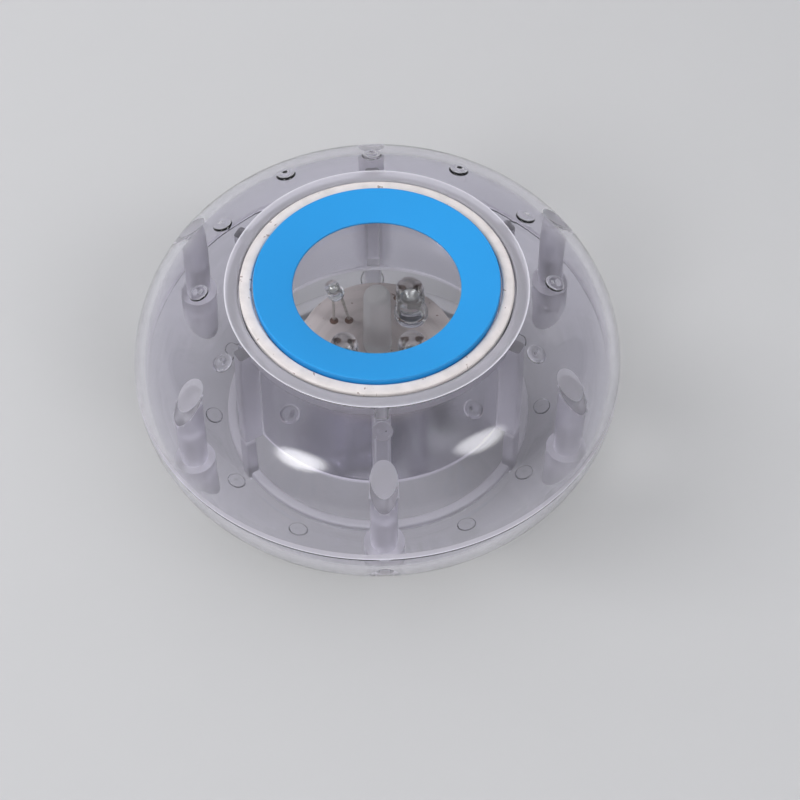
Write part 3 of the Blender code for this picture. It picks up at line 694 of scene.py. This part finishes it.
def post_ring(radius, bottom, top, sides=40):
    """Six upright round bars on the screws' circle."""
    places = spread(6, post_circle(), math.pi / 6)
    return joined(*[column(x, y, radius, bottom, top, sides) for _, x, y in places])


def rib_ring(size, reach, bottom, tall):
    """Six upright ribs on the spokes, between two radii and as tall as asked."""
    ribs = []
    for angle, x, y in spread(6, sum(reach) / 2, math.pi / 6):
        spot = (x, y, bottom + tall / 2)
        ribs.append(block((reach[1] - reach[0], size.rib, tall), spot, 0.5 * MM, angle))
    return joined(*ribs)


class POOL_LIGHT_OT_upper_shell(bpy.types.Operator):
    """Clear dome with its hub wall, ribs, screw posts and bumps"""
    bl_idname = "pool_light.upper_shell"
    bl_label = "Upper shell"

    def execute(self, context):
        size = sizes()
        rim = size.rim_height + size.fit / 2
        inner, outer, _, ridge = hub_radii(size)
        seat = LENS_RADIUS + size.fit
        ledge = LENS_LOW - size.fit
        neck = ledge - 2.35 * MM
        hub_low = size.rim_height - size.hub_drop
        flat = (flat_radius(), rim)
        width = RIM - flat[0]
        crown = quarter_arc(flat, width, TOP - rim, math.pi / 2, 0.0)
        under = quarter_arc(flat, width - size.wall, TOP - rim - size.wall, 0.0, math.pi / 2)
        hub = softened([(seat, ledge), (seat, TOP), (crown[0] + crown[1]) / 2], 0.5 * MM)
        # Two profile points at the flat top's edge, which make a narrow band for a painted highlight line
        line = flat[0] + np.array([0.3, 0.55]) * MM
        shoulder = softened([
            under[-1], (flat[0], ledge - 0.95 * MM), (outer, neck), (outer, hub_low), (inner, hub_low),
            (inner, ledge)], 0.6 * MM)
        profile = np.concatenate([
            hub[:-1], np.column_stack([line, dome(line)]), crown[1:], under[:-1], shoulder])
        posts = post_ring(size.post_radius, FOOT, lambda r: dome(r, size.wall * 0.5))
        bores = post_ring(BORE_RADIUS, FOOT - size.wall, FOOT + BORE_DEPTH, 24)
        reach = (seat + 0.1 * MM, ridge + size.rib_reach)
        bottom = hub_low + 0.2 * MM
        ribs = rib_ring(size, reach, bottom, TOP - size.wall / 2 - bottom)
        bumps = bump_ring(size, flat[0] + size.upper_bump_out, dome, 1)
        mesh = carved(lathe(profile, 288, closed=True), [
            ("UNION", joined(posts, ribs, bumps)), ("DIFFERENCE", bores)])

        def haze_and_highlight(x, y, z):
            """Marks at a place: a painted highlight on thin lines, cloudy posts, ribs and hub edge, a faintly
            cloudy wall.
            """
            slack = 0.1 * MM
            radius = np.hypot(x, y)
            along, across = beside_spokes(x, y)
            post = np.hypot(along - post_circle(), across) < size.post_radius + slack
            rib = (np.abs(across) < size.rib / 2 + slack) & (along > seat) & (along < reach[1] + slack)
            edge = (radius < line[0]) & (z > neck - 0.25 * MM)
            thick = edge | (post | rib) & (z < dome(radius, size.wall / 2))
            wall = radius < outer + slack
            # Painted highlight: a white ring at the flat top's edge, the hub wall's bottom and the parting
            # line
            painted_highlight = (np.abs(radius - line.mean()) < slack) & (z > TOP - slack)
            painted_highlight |= wall & (z < hub_low + 0.35 * MM) | (np.abs(z - rim) < slack)
            return np.select([painted_highlight, thick, wall], [PAINTED_HIGHLIGHT, THICK_HAZE, WALL_HAZE], 0.0)

        piece("upper_shell_clear", with_haze_and_highlight(mesh, haze_and_highlight), "clear", "float", ["upper_shell"])
        return {"FINISHED"}


class POOL_LIGHT_OT_lower_shell(bpy.types.Operator):
    """Clear dish with its ridge, ribs, sockets, battery tube and bumps"""
    bl_idname = "pool_light.lower_shell"
    bl_label = "Lower shell"

    def execute(self, context):
        size = sizes()
        rim = size.rim_height - size.fit / 2
        _, _, inner, outer = hub_radii(size)
        flat = (flat_radius(), rim)
        width = RIM - flat[0]
        inside = quarter_arc(flat, width - size.wall, rim - size.wall, -math.pi / 2, 0.0)
        inside = inside[inside[:, 0] > outer + 0.8 * MM]
        outside = quarter_arc(flat, width, rim, 0.0, -math.pi / 2)
        floor = softened([
            (0.0, size.wall), (inner, size.wall), (inner, size.ridge_top), (outer, size.ridge_top),
            (outer, size.wall + 0.3 * MM), inside[0]], 0.5 * MM)
        groove = low("rim_seal")[2] - 0.1 * MM
        half = 0.35 * MM
        seal = RIM - size.wall / 2
        lip = [(seal - half, rim), (seal - half, groove), (seal + half, groove), (seal + half, rim)]
        profile = np.concatenate([floor[:-1], inside, lip, outside, [[0.0, 0.0]]])
        top = FOOT - size.fit
        seat = float(dish(post_circle())) + RECESS_DEPTH
        sockets = post_ring(size.socket_radius, lambda r: dish(r, size.wall * 0.5), top)
        recesses = post_ring(RECESS_RADIUS, -size.wall, seat)
        bores = post_ring(BORE_RADIUS, seat - size.wall / 2, top + size.wall, 24)
        reach = (inner + 0.2 * MM, outer + size.rib_reach)
        tall = size.rim_height - size.hub_drop - size.fit - size.wall / 2
        ribs = rib_ring(size, reach, size.wall / 2, tall)
        bumps = bump_ring(size, flat[0] + size.lower_bump_out, dish, -1)
        boss, well, bore, entry = self.battery_tube(size)
        standoffs = []
        for turned in map(math.radians, (56.0, 124.0, -124.0, -56.0)):
            x = STANDOFF_CIRCLE * math.cos(turned)
            y = STANDOFF_CIRCLE * math.sin(turned)
            standoffs.append(column(x, y, STANDOFF_RADIUS, size.wall / 2, BOARD_LOW - size.fit, 24))
        hole = column(BUTTON_AXIS.x, 0.0, 3.3 * MM, -size.wall, 2 * size.wall, 48)
        mesh = carved(lathe(profile, 216), [
            ("UNION", joined(sockets, ribs, bumps, boss)), ("UNION", joined(well, *standoffs)),
            ("DIFFERENCE", joined(recesses, hole)), ("DIFFERENCE", bores), ("DIFFERENCE", bore),
            ("DIFFERENCE", entry)])

        def haze_and_highlight(x, y, z):
            """Marks at a place: a painted highlight on the parting line, and cloudy sockets, ribs and ridge.
            """
            slack = 0.1 * MM
            radius = np.hypot(x, y)
            along, across = beside_spokes(x, y)
            socket = np.hypot(along - post_circle(), across) < size.socket_radius + slack
            rib = (np.abs(across) < size.rib / 2 + slack) & (along > inner) & (along < reach[1] + slack)
            ridge = (radius > inner - slack) & (radius < outer + slack)
            thick = (socket | rib | ridge) & (z > dish(radius, size.wall) + slack)
            # The parting line is a painted highlight in white
            return np.where(np.abs(z - rim) < slack, PAINTED_HIGHLIGHT, THICK_HAZE * thick)

        piece("lower_shell_clear", with_haze_and_highlight(mesh, haze_and_highlight), "clear", "float", ["lower_shell"])
        return {"FINISHED"}

    def battery_tube(self, size):
        """Boss and well round the cells, their stepped bore, and the way in for the cap's lugs."""
        plug_top = low("cap_contact")[2]
        recess = radius_about(CAP_AXIS, "cap_oring") + 0.1 * MM
        cells = radius_about(CAP_AXIS, "button_cell_1") + 0.9 * MM
        tube_top = low("led_lead_2a")[2] - size.fit
        boss = column(CAP_AXIS.x, 0.0, recess + 0.6 * MM, size.wall / 2, plug_top + 2.0 * MM, 72)
        well = column(CAP_AXIS.x, 0.0, cells + 1.2 * MM, plug_top + 1.0 * MM, tube_top, 72)
        lug = LUG_HEIGHT + 2 * size.fit
        ledge = plug_top - 0.2 * MM - lug + size.fit
        bore = [
            (0.0, tube_top + size.wall), (cells, tube_top + size.wall), (cells, ledge + lug),
            (recess - 0.8 * MM, ledge + lug), (recess - 0.8 * MM, ledge), (cells - 0.4 * MM, ledge),
            (cells - 0.4 * MM, ledge - 1.0 * MM), (recess, ledge - 1.0 * MM), (recess, -size.wall),
            (0.0, -size.wall)]
        entry = block(
            (2 * recess - 1.8 * MM, 4.2 * MM, 1.6 * MM), (CAP_AXIS.x, 0.0, ledge - 0.5 * MM), 0.2 * MM)
        return boss, well, lathe(bore, 72, centre=CAP_AXIS), entry


class POOL_LIGHT_OT_rim_seal(bpy.types.Operator):
    """Soft ring in the parting line"""
    bl_idname = "pool_light.rim_seal"
    bl_label = "Rim seal"

    def execute(self, context):
        seat = RIM - sizes().wall / 2
        half = 0.25 * MM
        profile = ring(seat - half, seat + half, *levels("rim_seal"), 0.15 * MM)
        piece("rim_seal_ring", lathe(profile, 128, closed=True), "seal", "float", ["rim_seal"])
        return {"FINISHED"}


class POOL_LIGHT_OT_window(bpy.types.Operator):
    """Clear window, white gasket and dished blue bezel"""
    bl_idname = "pool_light.window"
    bl_label = "Window"

    def execute(self, context):
        lens = disc(LENS_RADIUS, LENS_LOW, LENS_HIGH, 0.3 * MM)
        piece("window_disc", lathe(lens, 128), "window", "float", ["window_lens"])
        gasket = ring(BEZEL_RADIUS + sizes().fit, LENS_RADIUS, BASE, GASKET_TOP, 0.35 * MM)
        piece("window_gasket_ring", lathe(gasket, 160, closed=True), "white", "float",
              ["window_gasket"])
        hole = 15.2 * MM
        bezel = softened([
            (hole, BASE + 0.5 * MM), (BEZEL_RADIUS, BEZEL_TOP), (BEZEL_RADIUS, BASE), (hole, BASE)],
            0.3 * MM, closed=True, count=6)
        piece("bezel_blue", lathe(bezel, 192, closed=True), "blue", "float", ["bezel_ring"])
        return {"FINISHED"}


def solder_dome(x, y, level, side, radius=0.75 * MM):
    """Solder fillet: a bell r = radius, z = h (1 - q q) squared above or below the board."""
    q = np.linspace(0.0, 1.0, 8)
    height = 0.55 * MM * (1.0 - q ** 2) ** 2
    profile = np.column_stack([q * radius, side * height])
    return lathe(np.concatenate([profile, [[0.0, 0.0]]]), 14, centre=(x, y, level))


def lamp_place(number):
    """Place of a lamp on the board, in the order back left, back right, front left, front right."""
    return LAMP_OUT * (-1 if number in (1, 3) else 1), LAMP_OUT * (1 if number in (1, 2) else -1)


def lead_holes():
    """Places where the lamps' leads go through the board."""
    return [(x + side * LEAD_HALF, y) for x, y in map(lamp_place, (2, 3, 4, 1)) for side in (-1, 1)]


class POOL_LIGHT_OT_board(bpy.types.Operator):
    """Round board with solder, chip, resistor and switch"""
    bl_idname = "pool_light.board"
    bl_label = "Board"

    def execute(self, context):
        edge = disc(BOARD_RADIUS, BOARD_LOW, BOARD_HIGH, 0.15 * MM)
        holes = [column(x, y, 0.5 * MM, BOARD_LOW - MM, BOARD_HIGH + MM, 16) for x, y in lead_holes()]
        mesh = carved(lathe(edge, 96), [("DIFFERENCE", joined(*holes))])
        piece("circuit_board_disc", mesh, "board", "float", ["circuit_board"])
        joints = [solder_dome(x, y, BOARD_HIGH, 1) for x, y in lead_holes()]
        joints += [solder_dome(x, y, BOARD_LOW, -1) for x, y in lead_holes()]
        pads = [(1.2, 8.4), (-1.4, 9.4), (3.6, 10.2), (9.8, 1.4), (9.4, -2.2), (-10.2, 1.0), (-9.0, -3.2)]
        joints += [solder_dome(x * MM, y * MM, BOARD_HIGH, 1, 0.6 * MM) for x, y in pads]
        piece("board_solder", joined(*joints), "solder", "float")
        self.chip()
        self.resistor()
        self.switch()
        return {"FINISHED"}

    def chip(self):
        """Driver chip under the board with four bent legs on either side."""
        centre = middle("driver_chip")
        size = extent("driver_chip")
        piece("driver_chip_body", block(size, centre, 0.15 * MM), "black", "float",
              ["driver_chip"])
        pitch = 1.143 * MM
        rise = (centre.z, centre.z, BOARD_LOW - 0.15 * MM, BOARD_LOW - 0.12 * MM)
        legs = []
        for side in (-1, 1):
            for step in (-1.5, -0.5, 0.5, 1.5):
                x = centre.x + step * pitch
                out = [centre.y + side * (size.y / 2 + far * MM) for far in (-0.2, 0.4, 0.5, 0.9)]
                legs.append(tube([(x, y, z) for y, z in zip(out, rise)], 0.12 * MM, 6))
        piece("driver_chip_legs", joined(*legs), "tin", "float")

    def resistor(self):
        """Small resistor with tinned ends."""
        centre = middle("led_resistor")
        size = extent("led_resistor")
        piece("led_resistor_body", block(size * 0.98, centre, 0.08 * MM), "black", "float",
              ["led_resistor"])
        ends = []
        for side in (-1, 1):
            spot = centre + Vector((side * (size.x / 2 - 0.17 * MM), 0.0, 0.0))
            ends.append(block((0.35 * MM, size.y, size.z), spot, 0.06 * MM))
        piece("led_resistor_ends", joined(*ends), "tin", "float")

    def switch(self):
        """Push switch: black body with a bore for its plunger and four legs."""
        centre = middle("tact_switch")
        size = extent("tact_switch")
        bore = column(centre.x, 0.0, 2.0 * MM, low("tact_switch")[2] - MM, centre.z, 32)
        body = carved(block(size, centre, 0.3 * MM), [("DIFFERENCE", bore)])
        piece("switch_body", body, "black", "float", ["tact_switch"])
        legs = []
        for x in (-1, 1):
            for y in (-1, 1):
                side = centre + Vector((x * size.x / 2, y * 2.2 * MM, 0.0))
                legs.append(tube([
                    side, side + Vector((x * 0.25 * MM, 0.0, 0.2 * MM)),
                    Vector((side.x + x * 0.3 * MM, side.y, BOARD_LOW - 0.05 * MM))], 0.22 * MM, 8))
        piece("switch_legs", joined(*legs), "tin", "float")


class POOL_LIGHT_OT_lamps(bpy.types.Operator):
    """Clear lamps with their leads, cups and posts"""
    bl_idname = "pool_light.lamps"
    bl_label = "Lamps"

    def execute(self, context):
        for number in (1, 2, 3, 4):
            self.lamp(number)
        return {"FINISHED"}

    def lamp(self, number):
        """One lamp: bullet-shaped resin, a cup on a broad anvil, a thin post and two leads."""
        raised = number == 1
        x, y = lamp_place(number)
        stand = RAISED_STAND if raised else LAMP_STAND
        lean = RAISED_LEAN if raised else 0.0
        small = RAISED_SCALE if raised else 1.0
        tilt = Matrix.Rotation(lean, 4, "X") @ Matrix.Rotation(-lean, 4, "Y")
        place = Matrix.Translation((x, y, BOARD_HIGH + stand)) @ tilt
        place = place @ Matrix.Translation((0.0, 0.0, LAMP_LENGTH * (1.0 - small)))
        radius = LAMP_RADIUS * small
        flange = LAMP_FLANGE * small
        brim = MM * small
        t = np.linspace(0.0, math.pi / 2, 14)
        crown = np.column_stack([radius * np.sin(t), LAMP_LENGTH * small - radius + radius * np.cos(t)])
        foot = softened([
            crown[-1], (radius, brim), (flange, brim), (flange, 0.0), (0.0, 0.0)], 0.15 * MM)
        resin = moved(lathe(np.concatenate([crown, foot[1:]]), 40), place)
        piece(f"led_{number}_resin", resin, "lamp", "float", [f"led_{number}"])
        cup = softened([
            (0.0, 4.6 * MM), (0.35 * MM, 4.6 * MM), (0.75 * MM, 5.1 * MM), (0.9 * MM, 5.1 * MM),
            (0.75 * MM, 4.3 * MM), (0.0, 4.0 * MM)], 0.05 * MM)
        half = LEAD_HALF
        anvil = block((1.5 * MM, 0.5 * MM, 1.5 * MM), (0.45 * MM, 0.0, 3.4 * MM), 0.12 * MM)
        broad = tube([(half, 0, 0.2 * MM), (half, 0, 1.5 * MM), (0.6 * MM, 0, 2.8 * MM)], LEAD_RADIUS, 8)
        thin = tube([(-half, 0, 0.2 * MM), (-half, 0, 2.6 * MM), (-0.9 * MM, 0, 4.2 * MM)], LEAD_RADIUS, 8)
        metal_parts = moved(joined(lathe(cup, 20), anvil, broad, thin), place @ Matrix.Scale(small, 4))
        piece(f"led_{number}_frame", metal_parts, "tin", "float")
        for side, letter in ((-1, "a"), (1, "b")):
            node = f"led_lead_{number}{letter}"
            hole = Vector((x + side * half, y, BOARD_HIGH))
            end = place @ Vector((side * half * small, 0.0, -0.05 * MM))
            path = [(hole.x, hole.y, low(node)[2]), hole, hole + Vector((0, 0, 0.25 * MM))]
            path += [hole.lerp(end, 0.5), end]
            piece(f"{node}_wire", tube(path, LEAD_RADIUS, 10), "tin", "float", [node])


class POOL_LIGHT_OT_centre_post(bpy.types.Operator):
    """Clear post in the middle of the board"""
    bl_idname = "pool_light.centre_post"
    bl_label = "Centre post"

    def execute(self, context):
        profile = disc(high("centre_post")[0], *levels("centre_post"), 1.6 * MM, 9)
        piece("centre_post_clear", lathe(profile, 48), "frosted", "float", ["centre_post"])
        return {"FINISHED"}


class POOL_LIGHT_OT_batteries(bpy.types.Operator):
    """Button cells, contact strip and conical spring"""
    bl_idname = "pool_light.batteries"
    bl_label = "Batteries"

    def execute(self, context):
        for index in (1, 2, 3):
            node = f"button_cell_{index}"
            bottom, top = levels(node)
            radius = radius_about(CAP_AXIS, node)
            crimp = (top - bottom) / 8
            face = radius - 2 * crimp
            profile = softened([
                (0.0, top), (face, top), (face, top - crimp / 2), (radius - crimp, top - crimp / 2),
                (radius, top - 1.5 * crimp), (radius, bottom), (0.0, bottom)], 0.25 * MM)
            piece(f"{node}_can", lathe(profile, 64, centre=CAP_AXIS), "can", "float", [node])
        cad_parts["contact_strip"].data.materials.clear()
        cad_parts["contact_strip"].data.materials.append(look("nickel"))
        # Conical helix: two and a half turns whose radius and height grow evenly along the wire
        wire = 0.25 * MM
        ends = (low("contact_spring")[2] + wire, high("contact_spring")[2] - wire)
        share = np.linspace(0.0, 1.0, 90)
        angle = share * 2.5 * TAU
        radius = 1.8 * MM + 2.6 * MM * share
        rise = ends[0] + (ends[1] - ends[0]) * share
        path = np.column_stack([CAP_AXIS.x + radius * np.cos(angle), radius * np.sin(angle), rise])
        piece("contact_spring_wire", tube(path, wire, 10), "nickel", "float",
              ["contact_spring"])
        return {"FINISHED"}


class POOL_LIGHT_OT_battery_cap(bpy.types.Operator):
    """Clear cap with a coin slot, its O-ring and contact"""
    bl_idname = "pool_light.battery_cap"
    bl_label = "Battery cap"

    def execute(self, context):
        bottom, top = levels("battery_cap")
        flange = bottom + 1.6 * MM
        radius = radius_about(CAP_AXIS, "battery_cap")
        plug = 5.9 * MM
        ring_height = middle("cap_oring").z
        groove = (ring_height - 0.5 * MM, ring_height + 0.5 * MM)
        deep = radius - 0.8 * MM
        profile = softened([
            (0.0, top), (plug, top), (plug, flange), (radius, flange), (radius, groove[1]), (deep, groove[1]),
            (deep, groove[0]), (radius, groove[0]), (radius, bottom), (0.0, bottom)], 0.2 * MM)
        lugs = [block((3.6 * MM, 2.9 * MM, LUG_HEIGHT), (0.0, side * 5.55 * MM, top - 0.5 * MM), 0.15 * MM)
                for side in (-1, 1)]
        slot = block((10.0 * MM, 1.8 * MM, 2.0 * MM), (0.0, 0.0, bottom - 0.2 * MM), 0.3 * MM)
        grip = 6.9 * MM
        grips = []
        for turned in np.radians([60, 90, 120, 240, 270, 300]):
            spot = (grip * math.cos(turned), grip * math.sin(turned), bottom)
            grips.append(block((1.6 * MM, 0.5 * MM, 1.0 * MM), spot, 0.15 * MM, turned))
        mesh = carved(lathe(profile, 96), [
            ("UNION", joined(*lugs)), ("DIFFERENCE", joined(slot, *grips))])
        mesh.transform(Matrix.Translation(CAP_AXIS))
        piece("battery_cap_clear", mesh, "clear", "cap", ["battery_cap"])
        wire = extent("cap_oring").z / 2
        reach = radius_about(CAP_AXIS, "cap_oring") - wire
        t = np.linspace(0.0, -TAU, 16, endpoint=False)
        section = np.column_stack([reach + wire * np.cos(t), ring_height + wire * np.sin(t)])
        piece("cap_oring_ring", lathe(section, 96, closed=True, centre=CAP_AXIS), "black_rubber", "cap",
              ["cap_oring"])
        plate = disc(radius_about(CAP_AXIS, "cap_contact"), *levels("cap_contact"), 0.15 * MM)
        piece("cap_contact_plate", lathe(plate, 64, centre=CAP_AXIS), "nickel", "cap",
              ["cap_contact"])
        return {"FINISHED"}


class POOL_LIGHT_OT_power_button(bpy.types.Operator):
    """Silicone button and the switch's plunger"""
    bl_idname = "pool_light.power_button"
    bl_label = "Power button"

    def execute(self, context):
        bottom, top = levels("power_button")
        flange = radius_about(BUTTON_AXIS, "power_button")
        floor = sizes().wall + sizes().fit
        stem = 2.2 * MM
        neck = 3.0 * MM
        q = np.linspace(0.0, 1.0, 8)[::-1]
        dip = 0.25 * MM * q ** 2 + 0.12 * MM * np.exp(-(q / 0.4) ** 2)
        face = np.column_stack([2.6 * MM * q, bottom + dip])
        body = softened([
            (0.0, top), (stem, top), (stem, floor + 0.9 * MM), (flange, floor + 0.9 * MM), (flange, floor),
            (neck, floor), (neck, bottom + 0.6 * MM), face[0]], 0.3 * MM)
        profile = np.concatenate([body, face[1:]])
        piece("power_button_cap", lathe(profile, 56, centre=BUTTON_AXIS), "silicone", "button",
              ["power_button"])
        radius = radius_about(BUTTON_AXIS, "switch_plunger")
        plunger = disc(radius, *levels("switch_plunger"), 0.25 * MM)
        piece("switch_plunger_stem", lathe(plunger, 40, centre=BUTTON_AXIS), "black", "button",
              ["switch_plunger"])
        return {"FINISHED"}


class POOL_LIGHT_OT_screws(bpy.types.Operator):
    """Self-tapping screws with a cross recess"""
    bl_idname = "pool_light.screws"
    bl_label = "Screws"

    def execute(self, context):
        for index in range(1, 7):
            self.screw(f"shell_screw_{index}")
        return {"FINISHED"}

    def screw(self, node):
        """One screw: the shank's radius rises and falls with height as r = core + depth tri(z / pitch), and
        the angle shifts the phase so that the thread winds up the shank."""
        axis = Vector((middle(node).x, middle(node).y, 0.0))
        bottom, tip = levels(node)
        head = bottom + 1.7 * MM
        core = 0.9 * MM
        depth = 0.32 * MM
        pitch = 1.0 * MM
        z = np.linspace(head, tip - 0.2 * MM, 96)
        angle = np.arange(20) * TAU / 20
        phase = (z[:, None] / pitch - angle[None] / TAU) % 1.0
        taper = np.clip((tip - z) / (2.4 * MM), 0.15, 1.0)[:, None]
        r = (core + depth * (1.0 - np.abs(2.0 * phase - 1.0))) * taper
        rings = np.stack([r * np.cos(angle), r * np.sin(angle), np.repeat(z[:, None], 20, 1)], -1)
        first = np.tile([0.0, 0.0, head], (1, 20, 1))
        last = np.tile([0.0, 0.0, tip], (1, 20, 1))
        rows = np.concatenate([first, rings, last])
        shank = (rows.reshape(-1, 3), grid(len(rows), 20))
        pan = softened([
            (0.0, head), (2.3 * MM, head), (2.3 * MM, head - 0.8 * MM), (1.5 * MM, bottom), (0.0, bottom)],
            0.4 * MM)
        cross = [("DIFFERENCE", block((2.4 * MM, 0.5 * MM, 1.8 * MM), (0.0, 0.0, bottom), 0.1 * MM, turned))
                 for turned in (0.0, math.pi / 2)]
        cap = carved(lathe(pan, 40), cross)
        whole = bmesh.new()
        whole.from_mesh(cap)
        whole.from_mesh(mesh_of("shank", shank))
        whole.to_mesh(cap)
        whole.free()
        cap.transform(Matrix.Translation(axis))
        screw = piece(f"{node}_threaded", cap, "nickel", "float", [node], 30.0)
        screw.visible_shadow = False


class POOL_LIGHT_OT_stage(bpy.types.Operator):
    """Pale floor, soft lights and the camera"""
    bl_idname = "pool_light.stage"
    bl_label = "Stage"

    KEY = (-0.70, 0.15, 0.62)
    FILL = (0.48, -0.36, 0.54)
    FRONT = (-0.44, -0.53, 0.52)
    GLOW_EDGE = math.radians(13.0)
    SKY = ((0.05, (0.22, 0.22, 0.24, 1.0)), (0.75, (0.62, 0.63, 0.66, 1.0)))

    # The photograph's view: distances in rim radii and aim in lengths ahead
    ELEVATION = math.radians(51.97)
    TURN = math.radians(-1.29)
    DISTANCE = 12.27
    AIM_RIGHT = 0.0074
    AIM_UP = -0.014
    FOCAL_SHARE = 2975.0 / 800.0

    def execute(self, context):
        scene = context.scene
        scene.view_settings.view_transform = "Standard"
        self.floor()
        self.world(scene)
        self.lamp("key_light", self.KEY, 0.40, 4.2)
        self.lamp("fill_light", self.FILL, 0.34, 0.9)
        self.lamp("front_light", self.FRONT, 0.26, 0.6)
        self.camera(scene)
        return {"FINISHED"}

    def floor(self):
        """Wide floor just under the object that curves up far behind: level near, then a quarter circle."""
        t = np.linspace(0.0, math.pi / 2, 16)
        run = np.concatenate([[-4.0, 0.0], 1.2 + 1.0 * np.sin(t), [2.2]])
        rise = np.concatenate([[0.0, 0.0], 1.0 - np.cos(t), [4.0]]) + CAD_BOX[0][2] - 0.1 * MM
        x = np.array([-5.0, 5.0])
        points = np.stack(np.broadcast_arrays(x[None], run[:, None], rise[:, None]), -1).reshape(-1, 3)
        mesh = bpy.data.meshes.new("floor")
        mesh.from_pydata(points.tolist(), [], grid(len(run), 2, close_columns=False).tolist())
        mesh.shade_smooth()
        shade = new_finish("pale_floor")
        colour = shade.mix(shade.noise(40.0, 2.0), rgba(colours().floor), rgba(colours().floor, 0.98))
        mesh.materials.append(shade.finish(Base_Color=colour, Roughness=0.38))
        floor = bpy.data.objects.new("floor", mesh)
        bpy.context.scene.collection.objects.link(floor)

    def world(self, scene):
        """Surroundings that are pale overhead and grey towards the horizon, with two soft glows that give
        the clear plastic highlights without a hard edge."""
        scene.world = bpy.data.worlds.new("studio")
        sky = Shade(scene.world, "Background")
        ahead = sky.add("ShaderNodeTexCoord", output="Generated")
        height = sky.add("ShaderNodeSeparateXYZ", None, {"Vector": ahead}, "Z")
        light = sky.add("ShaderNodeValToRGB", {"stops": self.SKY}, {"Fac": height})
        for towards, peak in ((self.FILL, 11.0), (self.FRONT, 15.0)):
            near = sky.vectors("DOT_PRODUCT", ahead, Vector(towards).normalized(), "Value")
            glow = sky.add(
                "ShaderNodeMapRange", {"interpolation_type": "SMOOTHERSTEP"},
                {"Value": near, "From Min": math.cos(self.GLOW_EDGE), "To Max": peak}, "Result")
            light = sky.vectors("ADD", light, glow)
        sky.finish(Color=light, Strength=0.6)
        scene.cycles.max_bounces = 32
        scene.cycles.transmission_bounces = 32
        scene.cycles.caustics_refractive = False
        scene.cycles.caustics_reflective = False

    def lamp(self, name, place, size, power):
        """Round soft light that faces the object and isn't itself mirrored in it."""
        light = bpy.data.lights.new(name, "AREA")
        light.shape = "DISK"
        light.size = size
        light.energy = power
        obj = bpy.data.objects.new(name, light)
        obj.location = place
        obj.rotation_euler = (Vector((0, 0, 0.02)) - Vector(place)).to_track_quat("-Z", "Y").to_euler()
        obj.visible_glossy = False
        obj.visible_transmission = False
        bpy.context.scene.collection.objects.link(obj)

    def camera(self, scene):
        """Camera of the photograph's view, worked out from the bumps and the rim."""
        turn = Matrix.Rotation(self.TURN, 3, "Z")
        ahead = Vector((0.0, math.cos(self.ELEVATION), -math.sin(self.ELEVATION)))
        right = Vector((1.0, 0.0, 0.0))
        aim = turn @ (ahead + self.AIM_RIGHT * right + self.AIM_UP * right.cross(ahead))
        data = bpy.data.cameras.new("camera")
        data.sensor_width = 36.0
        data.lens = self.FOCAL_SHARE * data.sensor_width
        data.clip_start = 0.01
        camera = bpy.data.objects.new("camera", data)
        camera.location = turn @ (-self.DISTANCE * RIM * ahead) + Vector((0.0, 0.0, sizes().rim_height))
        camera.rotation_euler = aim.to_track_quat("-Z", "Y").to_euler()
        scene.collection.objects.link(camera)
        scene.camera = camera


OPERATORS = (
    POOL_LIGHT_OT_stage,
    POOL_LIGHT_OT_upper_shell,
    POOL_LIGHT_OT_lower_shell,
    POOL_LIGHT_OT_rim_seal,
    POOL_LIGHT_OT_window,
    POOL_LIGHT_OT_board,
    POOL_LIGHT_OT_lamps,
    POOL_LIGHT_OT_centre_post,
    POOL_LIGHT_OT_batteries,
    POOL_LIGHT_OT_battery_cap,
    POOL_LIGHT_OT_power_button,
    POOL_LIGHT_OT_screws,
)


class POOL_LIGHT_PT_panel(bpy.types.Panel):
    """Sidebar panel with the light's sizes, colours and pieces"""
    bl_label = "Pool light"
    bl_idname = "POOL_LIGHT_PT_panel"
    bl_space_type = "VIEW_3D"
    bl_region_type = "UI"
    bl_category = "Pool light"

    def draw(self, context):
        for group in (context.scene.pool_light_sizes, context.scene.pool_light_colours):
            for name in group.__annotations__:
                self.layout.prop(group, name)
        for operator in OPERATORS:
            self.layout.operator(operator.bl_idname)


CLASSES = (FloatSizes, Colours, *OPERATORS, POOL_LIGHT_PT_panel)


def register():
    """Add the classes and the scene's settings."""
    for item in CLASSES:
        bpy.utils.register_class(item)
    bpy.types.Scene.pool_light_sizes = bpy.props.PointerProperty(type=FloatSizes)
    bpy.types.Scene.pool_light_colours = bpy.props.PointerProperty(type=Colours)


def unregister():
    """Take them away again."""
    del bpy.types.Scene.pool_light_colours
    del bpy.types.Scene.pool_light_sizes
    for item in reversed(CLASSES):
        bpy.utils.unregister_class(item)


def main():
    """Build every piece."""
    register()
    for operator in OPERATORS:
        group, name = operator.bl_idname.split(".")
        getattr(getattr(bpy.ops, group), name)()


if __name__ == "__main__":
    main()
